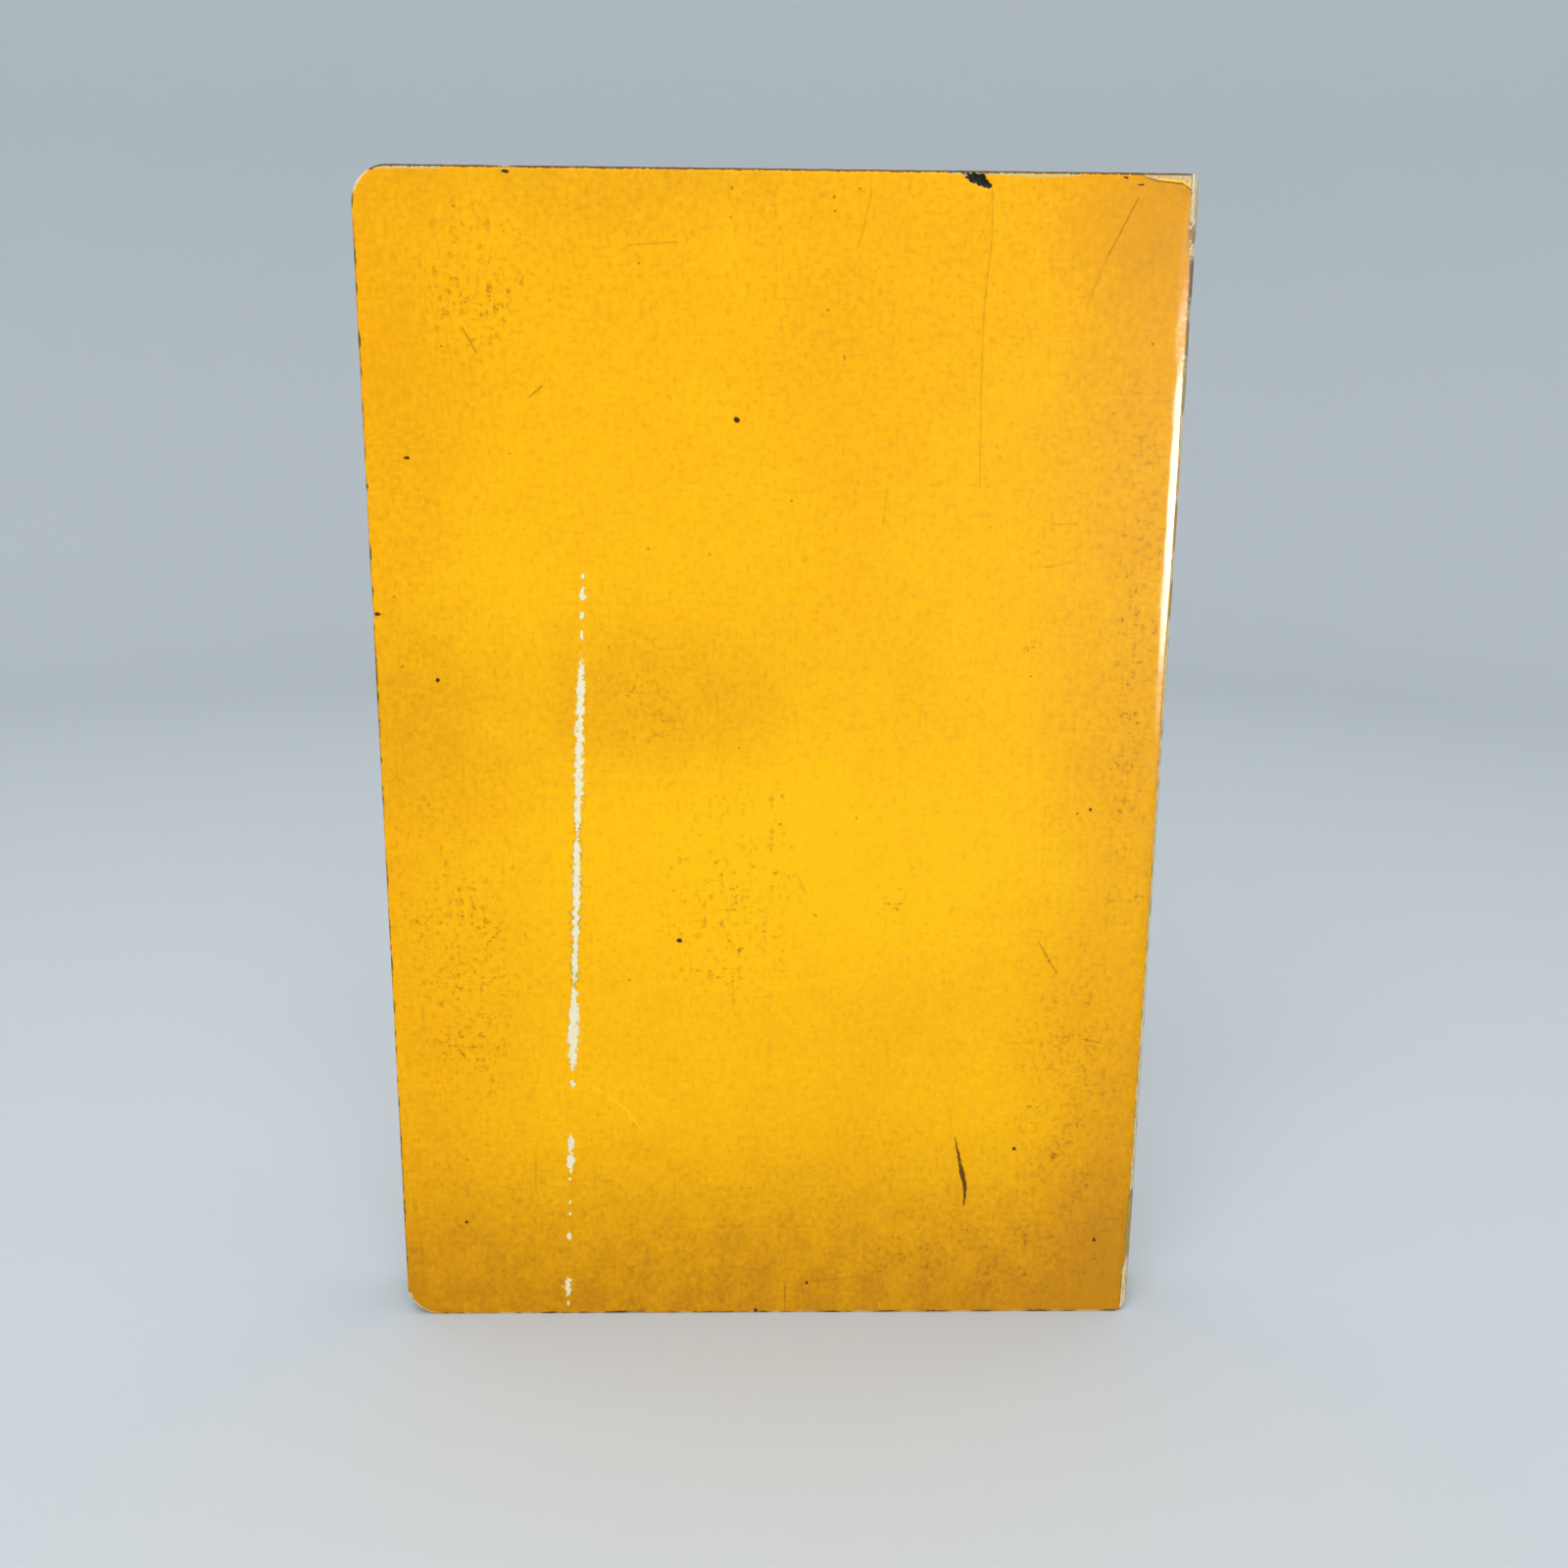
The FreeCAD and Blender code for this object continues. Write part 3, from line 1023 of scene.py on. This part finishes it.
@dataclass(frozen=True)
class PrintedCard:
    """Varnished yellow card, with raw aged board behind the print."""

    ink: Colour = (0.98, 0.50, 0.0)
    deep_ink: Colour = (0.85, 0.36, 0.0)
    pale_ink: Colour = (1.0, 0.60, 0.03)
    board: Colour = (0.60, 0.46, 0.24)
    dirt_and_shade: Colour = (0.50, 0.195, 0.0)
    mark: Colour = (0.30, 0.115, 0.0)
    spot: Colour = (0.06, 0.018, 0.001)
    hole: Colour = (0.010, 0.008, 0.003)
    board_stain: Colour = (0.42, 0.27, 0.10)
    lip: Colour = (0.74, 0.42, 0.02)
    dark_lip: Colour = (0.26, 0.23, 0.01)
    scraped: Colour = (0.80, 0.73, 0.50)
    scraped_stain: Colour = (0.58, 0.46, 0.20)
    knot: Colour = (0.22, 0.19, 0.01)
    gash: Colour = (0.13, 0.045, 0.002)
    sliver: Colour = (0.58, 0.46, 0.17)
    peeled_board: Colour = (0.66, 0.47, 0.24)
    peeled_stain: Colour = (0.46, 0.29, 0.12)
    roughness: float = 0.27
    shoulder_polish: float = 0.14
    shine: float = 0.12
    big_spot: float = 0.3
    far_wear_shift: float = 37.0
    ragged: Colour = (1.7, 1.7, 1.2)
    grain: Colour = (1.0, 1.0, 0.85)
    weft: Colour = (0.5, 1.0, 1.7)
    warp: Colour = (1.7, 1.0, 0.45)
    relief: Colour = (0.9, 1.0, 1.1)
    relief_height: float = 0.022
    book: BookSizes = field(default_factory=BookSizes)

    @staticmethod
    def nearest_blot(bench: Bench, flat: Signal, blots: tuple[Blot, ...]) -> Signal:
        """The distance to the nearest blot, as a share of that blot's size."""
        nearest: Signal | None = None
        for blot in blots:
            tall = blot.tall or blot.wide
            scale = (1 / blot.wide, 0.0, 1 / tall)
            shift = (-blot.across / blot.wide, 0.0, -blot.up / tall)
            rel = bench.vector("MULTIPLY_ADD", flat, scale, shift)
            away = bench.vector("LENGTH", rel, output="Value")
            nearest = away if nearest is None else nearest.at_most(away)
        return nearest

    @staticmethod
    def nearest_line(
        bench: Bench, flat: Signal, lines: tuple[tuple[tuple[float, float], ...], ...]
    ) -> Signal:
        """The distance in millimetres to the nearest of some broken lines."""
        nearest: Signal | None = None
        for line in lines:
            for start, end in zip(line, line[1:]):
                run = Vector((end[0] - start[0], 0.0, end[1] - start[1]))
                rel = bench.vector("SUBTRACT", flat, (start[0], 0.0, start[1]))
                unit = tuple(run / run.length_squared)
                share = bench.vector("DOT_PRODUCT", rel, unit, output="Value")
                share = share.at_least(0.0).at_most(1.0)
                back = bench.vector("MULTIPLY_ADD", share, tuple(-run), rel)
                away = bench.vector("LENGTH", back, output="Value")
                nearest = away if nearest is None else nearest.at_most(away)
        return nearest

    @staticmethod
    def by_height(
        bench: Bench, up: Signal, table: tuple, reach: float, steps: bool = False
    ) -> Signal:
        """Colours by height, from a table that reaches to a height."""
        stops = tuple((height / reach, colour) for height, colour in table)
        return bench.ramp(up / reach, stops, steps)

    def make(self, name: str, marks: CoverMarks, shoulder: bool) -> bpy.types.Material:
        """Builds the material of one part of the card.

        Args:
            name: The material's name.
            marks: What the part has collected.
            shoulder: Whether the part goes round the spine.

        Returns:
            The material.
        """
        bench = Bench(name)
        place = bench.attribute(FLAT_PLACE)
        along, depth, up = bench.parts(place)
        across = along
        worn_up = up
        if shoulder:
            middle = self.book.spine_middle
            across = middle - abs(along - middle)
            worn_up = up + (along - middle).fade(-1.0, 1.0) * self.far_wear_shift
        flat = bench.vector("MULTIPLY", place, (1.0, 0.0, 1.0))
        wobble = bench.noise(flat, (1.1, 1.1, 1.1), 1.0, output=1)
        wobble = bench.vector("MULTIPLY_ADD", wobble, (0.5, 0.0, 0.5), (-0.25, 0.0, -0.25))
        shaky = bench.vector("ADD", flat, wobble)
        bite = bench.noise(flat, self.ragged, 3.0, 0.7) - 0.5
        face = CardFace(bench, across, up, flat, shaky, bite)

        deep, darkening, gathered = bench.parts(bench.attribute(SOIL_AND_LIGHT))
        mottle = bench.noise(flat, self.grain, 4.0, 0.75)
        weft = bench.noise(flat, self.weft, 2.0, 0.7)
        warp = bench.noise(flat, self.warp, 2.0, 0.7)
        weave = weft + warp - 1.0
        shade = deep + (mottle - 0.5) * 1.7 + weave * 0.9
        colour = bench.mix(shade.at_least(0.0).at_most(1.0), self.ink, self.deep_ink)
        # Grime, with painted shade darkening the cover towards the tail.
        grime_and_shade = (darkening * (0.4 + mottle * 1.2)).at_most(0.85)
        colour = bench.mix(grime_and_shade, colour, self.dirt_and_shade)
        pitted = (mottle * 0.75 + weft.at_least(warp) * 0.45).fade(0.64, 0.76)
        colour = bench.mix(pitted * gathered.at_most(0.8), colour, self.mark)

        if marks.creases:
            crease = self.nearest_line(bench, flat, marks.creases).fade(0.22, 0.04)
            colour = bench.mix(crease * (0.1 + mottle * 0.35), colour, self.mark)
        if marks.scratches:
            scratch = self.nearest_line(bench, flat, marks.scratches).fade(0.2, 0.05)
            colour = bench.mix(scratch * (0.25 + mottle * 0.7), colour, self.mark)
        if marks.spots:
            big = tuple(blot for blot in marks.spots if blot.wide >= self.big_spot)
            small = tuple(blot for blot in marks.spots if blot.wide < self.big_spot)
            fleck = self.nearest_blot(bench, shaky, small).fade(1.2, 0.6)
            colour = bench.mix(fleck * 0.75, colour, self.mark)
            spot = self.nearest_blot(bench, shaky, big).fade(1.15, 0.8)
            colour = bench.mix(spot, colour, self.spot)
        bare: Value = 0.0
        if marks.photographed:
            colour, bare = self.long_marks(face, colour)
        colour = self.rim(face, colour, marks.photographed)
        if marks.photographed or shoulder:
            colour, bare = self.peeled(face, colour, bare)
        if shoulder:
            colour, bare = self.worn_shoulder(face, worn_up, colour, bare)
        if marks.photographed:
            hole = self.nearest_blot(bench, shaky, BACK_CHIP).fade(1.2, 0.95)
            tear = self.nearest_line(bench, shaky, (((27.0, 189.9), (28.4, 189.0)),))
            colour = bench.mix(hole.at_least(tear.fade(0.3, 0.1) * 0.8), colour, self.hole)
        inside = depth.fade(0.1, 0.17)
        raw = bench.mix(mottle.fade(0.35, 0.75) * 0.4, self.board, self.board_stain)
        colour = bench.mix(inside, colour, raw)
        polish = across.fade(60.6, 61.6) * self.shoulder_polish
        rough = self.roughness - polish + grime_and_shade * 0.15 + inside.at_least(bare) * 0.4
        relief = bench.noise(flat, self.relief, 2.0, 0.6) * self.relief_height
        return bench.finish(colour, rough, relief, self.shine)

    def long_marks(self, face: CardFace, colour: Signal) -> tuple[Signal, Signal]:
        """The long scrape down the card, and the dark gash near its tail.

        Args:
            face: The card's signals.
            colour: The colour so far.

        Returns:
            The colour with these marks, and the mask of what is bare.
        """
        bench, across, up, shaky, bite = face.bench, face.across, face.up, face.shaky, face.bite
        pale = self.nearest_line(bench, shaky, BACK_PALE).fade(0.3, 0.08)
        colour = bench.mix(pale * 0.45, colour, self.pale_ink)
        centre = up * SCRAPE_SLOPE + (SCRAPE_TOP[0] - SCRAPE_TOP[1] * SCRAPE_SLOPE)
        swing = (bench.first(shaky) - across) * 3.0
        away = abs(across + swing - centre)
        stops = tuple((height, (half,) * 3) for height, half in SCRAPE_WIDTHS)
        half = bench.first(self.by_height(bench, up, stops, SCRAPE_WIDTHS[-1][0]))
        line = half * (1.0 + bite * 3.0) + bite * 0.6 - away
        dots = (1.0 - self.nearest_blot(bench, shaky, SCRAPE_DOTS)) * 0.3 + bite * 0.5
        line = (line - half.fade(0.09, 0.02) * 9.0).at_least(dots)
        core = line.fade(-0.05, 0.06)
        edge = line.fade(-0.3, -0.02)
        olive = up.fade(97.0, 88.0) * up.fade(58.0, 64.0)
        lip = bench.mix(olive, self.lip, self.dark_lip)
        colour = bench.mix(edge * bite.fade(-0.15, 0.02) * 0.85, colour, lip)
        scraped = bench.mix(bite.fade(0.05, 0.2) * 0.7, self.scraped, self.scraped_stain)
        colour = bench.mix(core, colour, scraped)
        knot = self.nearest_blot(bench, shaky, SCRAPE_KNOT).fade(1.1, 0.5)
        colour = bench.mix(knot * bite.fade(0.0, 0.1) * 0.9, colour, self.knot)
        gash_away = self.nearest_line(bench, shaky, (BACK_GASH,))
        taper = (1.0 - abs(up - 26.5) / 8.0).at_least(0.1)
        gash = (taper * 0.45 - gash_away).fade(-0.08, 0.1) * bite.fade(-0.3, -0.05)
        return bench.mix(gash, colour, self.gash), core

    def rim(self, face: CardFace, colour: Signal, slivers: bool) -> Signal:
        """The pale wear and the dark grime along the trimmed edges.

        Args:
            face: The card's signals.
            colour: The colour so far.
            slivers: Whether the head has the pale slivers of the photograph.

        Returns:
            The colour with its rim.
        """
        bench, flat, bite = face.bench, face.flat, face.bite
        inset, dark, pale = bench.parts(bench.attribute(RIM))
        worn = (inset - bite * 0.9 - 0.12).fade(0.3, 0.12) * pale
        colour = bench.mix(worn, colour, CREAM)
        if slivers:
            sliver = self.nearest_line(bench, flat, HEAD_SLIVERS) - bite * 0.4
            colour = bench.mix(sliver.fade(0.3, 0.12), colour, self.sliver)
        darkening = (inset - bite * 0.8 - dark * 0.28).fade(0.14, 0.0) * dark
        return bench.mix(darkening * 0.92, colour, DARK)

    def peeled(self, face: CardFace, colour: Signal, bare: Value) -> tuple[Signal, Signal]:
        """The head corner at the spine, where the print has peeled off its board, with a painted
        shadow along the edge of the peel.

        Args:
            face: The card's signals.
            colour: The colour so far.
            bare: The mask of what is bare so far.

        Returns:
            The colour, and the mask of what is bare.
        """
        bench, across, up, bite = face.bench, face.across, face.up, face.bite
        start, stop = PEELED_CORNER[0][0], PEELED_CORNER[-1][0]
        base = 180.0
        stops = tuple(
            ((x - start) / (stop - start), ((z - base) / 10,) * 3) for x, z in PEELED_CORNER
        )
        line = bench.first(bench.ramp((across - start) / (stop - start), stops))
        over = up - (line * 10.0 + base) + bite * 0.25
        reach = across.fade(start - 0.3, start + 0.6)
        peel = over.fade(-0.03, 0.08) * reach
        # A painted shadow: a dark line along the edge of the peel, where the torn print stands above
        # the board.
        lip = (1.0 - abs(over + 0.1) * 6.0).at_least(0.0) * reach
        board = bench.mix(bite.fade(-0.12, 0.16), self.peeled_board, self.peeled_stain)
        colour = bench.mix(peel, colour, board)
        colour = bench.mix(lip * 0.95, colour, DARK)
        place = bench.node("ShaderNodeCombineXYZ", {}, {0: across, 2: up})
        flake = self.nearest_line(bench, place, FLAKE) - bite * 0.25
        colour = bench.mix(flake.fade(0.2, 0.12), colour, self.ink)
        top = (up - bite * 0.35).fade(self.book.height - 0.42, self.book.height - 0.25) * reach
        return bench.mix(top * 0.9, colour, DARK), peel.at_least(bare)

    def worn_shoulder(
        self, face: CardFace, up: Signal, colour: Signal, bare: Value
    ) -> tuple[Signal, Signal]:
        """The ragged line along the shoulder where the print has rubbed through.

        Args:
            face: The card's signals.
            up: The height at which the wear is read, which differs on the far shoulder.
            colour: The colour so far.
            bare: The mask of what is bare so far.

        Returns:
            The colour, and the mask of what is bare.
        """
        bench, across, bite = face.bench, face.across, face.bite
        stops = tuple((z, ((s - 60) / 5,) * 3) for z, s in PRINT_END)
        end = bench.first(self.by_height(bench, up, stops, self.book.height))
        past = across - (end * 5.0 + 60.0) + bite * 1.3
        band = past.fade(-0.03, 0.08) * past.fade(2.0, 1.3)
        tinted_at = up + bite * 9.0
        tint = self.by_height(bench, tinted_at, SHOULDER_TINTS, self.book.height, steps=True)
        place = bench.node("ShaderNodeCombineXYZ", {}, {0: across, 2: up})
        streak = bench.noise(place, (2.6, 1.0, 0.3), 3.0, 0.7)
        tint = bench.mix(streak.fade(0.48, 0.62) * 0.75, tint, BROWN)
        crack = (1.0 - abs(past) * 6.0).at_least(0.0) * streak.fade(0.4, 0.55)
        colour = bench.mix(band, colour, tint)
        torn = streak.fade(0.6, 0.66) * band * up.fade(150.0, 168.0)
        colour = bench.mix((crack * 0.75).at_least(torn), colour, DARK)
        return colour, band.at_least(bare)


@dataclass(frozen=True)
class LeafPaper:
    """Cheap book paper, browned at its trimmed edges."""

    paper: Colour = (0.66, 0.54, 0.34)
    aged: Colour = (0.44, 0.30, 0.14)
    book: BookSizes = field(default_factory=BookSizes)

    def make(self) -> bpy.types.Material:
        """Builds the material.

        Returns:
            The material, on Object coordinates.
        """
        bench = Bench("leaves")
        place = bench.node("ShaderNodeTexCoord", {}, {}, "Object")
        place = bench.vector("MULTIPLY", place, (1 / MM, 1 / MM, 1 / MM))
        per_leaf = bench.noise(place, (0.012, 5.0, 0.012), 2.0, 0.6)
        stain = bench.noise(place, (0.05, 0.05, 0.05), 5.0, 0.65)
        fibre = bench.noise(place, (1.5, 1.5, 1.5), 4.0, 0.65)
        node = bench.node("ShaderNodeSeparateXYZ", {}, {0: place}).socket.node
        across, _, up = (Signal(bench, node.outputs[axis]) for axis in range(3))
        fore = (across + self.book.width / 2).fade(9.0, 0.0)
        ends = (self.book.height / 2 - abs(up - self.book.height / 2)).fade(9.0, 0.0)
        browned = fore.at_least(ends) * 0.55 + stain.fade(0.4, 0.75) * 0.3
        colour = bench.mix(browned, self.paper, self.aged)
        colour = bench.mix(per_leaf.fade(0.35, 0.7) * 0.5, colour, (0.34, 0.23, 0.11))
        colour = bench.mix(fibre.fade(0.5, 0.8) * 0.25, colour, (0.74, 0.62, 0.42))
        return bench.finish(colour, 0.85, fibre * 0.01, 0.2)


@dataclass(frozen=True)
class SpineGlue:
    """Old amber glue, set hard."""

    glue: Colour = (0.45, 0.30, 0.13)
    crazed: Colour = (0.22, 0.12, 0.04)

    def make(self) -> bpy.types.Material:
        """Builds the material.

        Returns:
            The material, on Object coordinates.
        """
        bench = Bench("glue")
        place = bench.node("ShaderNodeTexCoord", {}, {}, "Object")
        place = bench.vector("MULTIPLY", place, (1 / MM, 1 / MM, 1 / MM))
        lump = bench.noise(place, (0.6, 0.6, 0.3), 4.0, 0.6)
        colour = bench.mix(lump.fade(0.35, 0.7), self.glue, self.crazed)
        return bench.finish(colour, 0.45 + lump * 0.15, lump * 0.05)


@dataclass(frozen=True)
class Studio:
    """A pale round sweep, soft lamps and the camera, none of it part of the book."""

    floor_radius: float = 0.7
    sweep_radius: float = 0.35
    wall_height: float = 1.1
    arc_steps: int = 12
    turn_steps: int = 128
    sweep_colour: Colour = (0.46, 0.495, 0.52)
    world_colour: Colour = (0.88, 0.94, 1.0)
    world_strength: float = 0.46
    camera_place: tuple[float, float, float] = (-0.00405, -0.25525, 0.1548)
    camera_turn: tuple[float, float, float] = (76.639, -0.478, -1.187)

    def sweep(self) -> None:
        """The floor, rising all round into a wall."""
        mesh = bmesh.new()
        points = [Vector((0.0, 0.0, 0.0)), Vector((self.floor_radius, 0.0, 0.0))]
        for step in range(1, self.arc_steps + 1):
            turn = step / self.arc_steps * math.pi / 2
            out = self.floor_radius + self.sweep_radius * math.sin(turn)
            points.append(Vector((out, 0.0, self.sweep_radius * (1 - math.cos(turn)))))
        points.append(Vector((self.floor_radius + self.sweep_radius, 0.0, self.wall_height)))
        verts = [bmesh.ops.create_vert(mesh, co=point)["vert"][0] for point in points]
        edges = [mesh.edges.new(pair) for pair in zip(verts, verts[1:])]
        bmesh.ops.spin(
            mesh,
            geom=verts + edges,
            cent=(0.0, 0.0, 0.0),
            axis=(0.0, 0.0, 1.0),
            angle=2 * math.pi,
            steps=self.turn_steps,
            use_merge=True,
        )
        bmesh.ops.remove_doubles(mesh, verts=mesh.verts, dist=1e-5)
        bmesh.ops.recalc_face_normals(mesh, faces=mesh.faces)
        for face in mesh.faces:
            face.smooth = True
        data = bpy.data.meshes.new("studio_sweep")
        mesh.to_mesh(data)
        mesh.free()
        made = bpy.data.objects.new("studio_sweep", data)
        bpy.context.scene.collection.objects.link(made)
        bench = Bench("studio_sweep")
        inputs = {"Color": self.sweep_colour}
        bench.node_output(bench.node("ShaderNodeBsdfDiffuse", {}, inputs))
        data.materials.append(bench.material)

    @staticmethod
    def lamp(
        name: str,
        place: tuple[float, float, float],
        target: tuple[float, float, float],
        size: tuple[float, float],
        watts: float,
    ) -> bpy.types.Object:
        """One soft rectangular lamp, aimed at a place and unseen by the camera."""
        data = bpy.data.lights.new(name, "AREA")
        data.shape = "RECTANGLE"
        data.size, data.size_y = size
        data.energy = watts
        made = bpy.data.objects.new(name, data)
        made.location = place
        aim = Vector(target) - Vector(place)
        made.rotation_euler = aim.to_track_quat("-Z", "Y").to_euler()
        made.visible_camera = False
        bpy.context.scene.collection.objects.link(made)
        return made

    def world(self) -> None:
        """An even pale sky."""
        world = bpy.data.worlds.new("studio")
        world.use_nodes = True
        background = world.node_tree.nodes["Background"]
        background.inputs["Color"].default_value = (*self.world_colour, 1.0)
        background.inputs["Strength"].default_value = self.world_strength
        bpy.context.scene.world = world

    def camera(self) -> None:
        """The camera at the photograph's viewing angle."""
        data = bpy.data.cameras.new("camera")
        data.lens = 36.0
        data.sensor_width = 36.0
        data.clip_start = 0.01
        made = bpy.data.objects.new("camera", data)
        made.location = self.camera_place
        made.rotation_euler = Euler([math.radians(angle) for angle in self.camera_turn], "XYZ")
        bpy.context.scene.collection.objects.link(made)
        bpy.context.scene.camera = made

    def build(self) -> None:
        """Sets up the whole studio."""
        self.sweep()
        self.world()
        self.lamp(
            "key", place=(-0.1, -0.75, 0.85), target=(0.0, 0.0, 0.1), size=(0.9, 0.7), watts=10.0
        )
        strip = self.lamp(
            "shoulder_strip",
            place=(0.649, -0.388, 0.1),
            target=(0.062, -0.007, 0.1),
            size=(0.8, 0.17),
            watts=38.0,
        )
        strip.visible_diffuse = False
        self.lamp(
            "overhead", place=(0.0, 0.15, 1.2), target=(0.0, 0.151, 0.0), size=(1.5, 0.9), watts=8.0
        )
        self.camera()
        bpy.context.scene.view_settings.view_transform = "Standard"


@dataclass
class Paperback:
    """The whole book: its leaves, its glue, and the three parts of its cover."""

    book: BookSizes = field(default_factory=BookSizes)
    seam_past_crease: float = 0.5
    fold_half_width: float = 0.4
    back_soil_and_light: SoilAndLight = SoilAndLight(BACK_SMUDGES, BACK_SPECKLED, BACK_STAINS, BACK_PAINTED_SHEEN)
    front_soil_and_light: SoilAndLight = SoilAndLight(dirt_and_shade=0.8)

    def covers(self) -> None:
        """Both covers, each with a crease pressed in."""
        seam = self.book.crease + self.seam_past_crease
        fore = -self.book.width / 2
        back_wear = CardWear(
            notches=(
                Notch(-40.6, 189.8, 0.7, 0.35),
                Notch(-63.4, 141.9, 0.6, 0.15),
                Notch(-63.3, 126.9, 0.6, 0.15),
                Notch(-63.2, 123.2, 0.7, 0.35),
            ),
            corner_line=PEELED_CORNER,
            gash=BACK_GASH,
            chip=BACK_CHIP,
        )
        looks = PrintedCard()
        marks = CoverMarks(BACK_SPOTS, BACK_SCRATCHES, BACK_CREASES, photographed=True)
        back = CardPart(
            name="back_cover_sheet",
            node="back_cover",
            side=Side.BACK,
            start=fore,
            stop=seam,
            cells=(134, 210),
            seams=(seam,),
            wear=back_wear,
            soil_and_light=self.back_soil_and_light,
            far_soil_and_light=self.front_soil_and_light,
            patches=(
                (53.5, 59.0, 184.0, 190.1),
                (27.0, 33.5, 186.0, 190.1),
                (30.0, 35.0, 19.0, 35.0),
            ),
        )
        front = CardPart(
            name="front_cover_sheet",
            node="front_cover",
            side=Side.FRONT,
            start=fore,
            stop=seam,
            cells=(120, 190),
            seams=(seam,),
            wear=CardWear(),
            soil_and_light=self.front_soil_and_light,
            far_soil_and_light=self.back_soil_and_light,
        )
        for part, body, material in (
            (back, "back_cover", looks.make("back_card", marks, False)),
            (front, "front_cover", looks.make("front_card", CoverMarks(), False)),
        ):
            piece = part.build()
            piece.data.materials.append(material)
            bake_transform(piece)
            report(piece, "bends at its crease")

    def spine(self) -> None:
        """The card round the spine, between the two seams."""
        near = self.book.crease + self.seam_past_crease
        far = 2 * self.book.spine_middle - near
        part = CardPart(
            name="spine_wrap",
            node="spine_cover",
            side=Side.BACK,
            start=near,
            stop=far,
            cells=(66, 270),
            seams=(near, far),
            wear=CardWear(corner_line=PEELED_CORNER),
            soil_and_light=self.back_soil_and_light,
            far_soil_and_light=self.front_soil_and_light,
        )
        piece = part.build()
        piece.data.materials.append(PrintedCard().make("spine_card", CoverMarks(), True))
        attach(piece, "book_block")
        report(piece, "rides on the leaves")

    def leaves(self) -> None:
        """The block of leaves."""
        piece = LeafBlock().build()
        piece.data.materials.append(LeafPaper().make())
        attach(piece, "book_block")
        report(piece, "rides at the middle")

    def glue(self, node: bpy.types.Object) -> None:
        """The glue keeps its CAD shape and gets its own look."""
        node.data.materials.clear()
        node.data.materials.append(SpineGlue().make())
        report(node, "keeps its CAD shape")

    def build(self, frame: dict) -> None:
        """Builds every piece of the book."""
        self.leaves()
        self.spine()
        self.covers()
        self.glue(frame["nodes"]["spine_glue"])


def report(piece: bpy.types.Object, words: str) -> None:
    """Says what was made, and how many triangles it has."""
    triangles = sum(len(polygon.vertices) - 2 for polygon in piece.data.polygons)
    LOG.info("%s: %d triangles, %s", piece.name, triangles, words)


def main() -> None:
    """Loads the frame, dresses the book and sets up its studio."""
    logging.basicConfig(level=logging.INFO, format="%(message)s")
    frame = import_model()
    Paperback().build(frame)
    Studio().build()


if __name__ == "__main__":
    main()
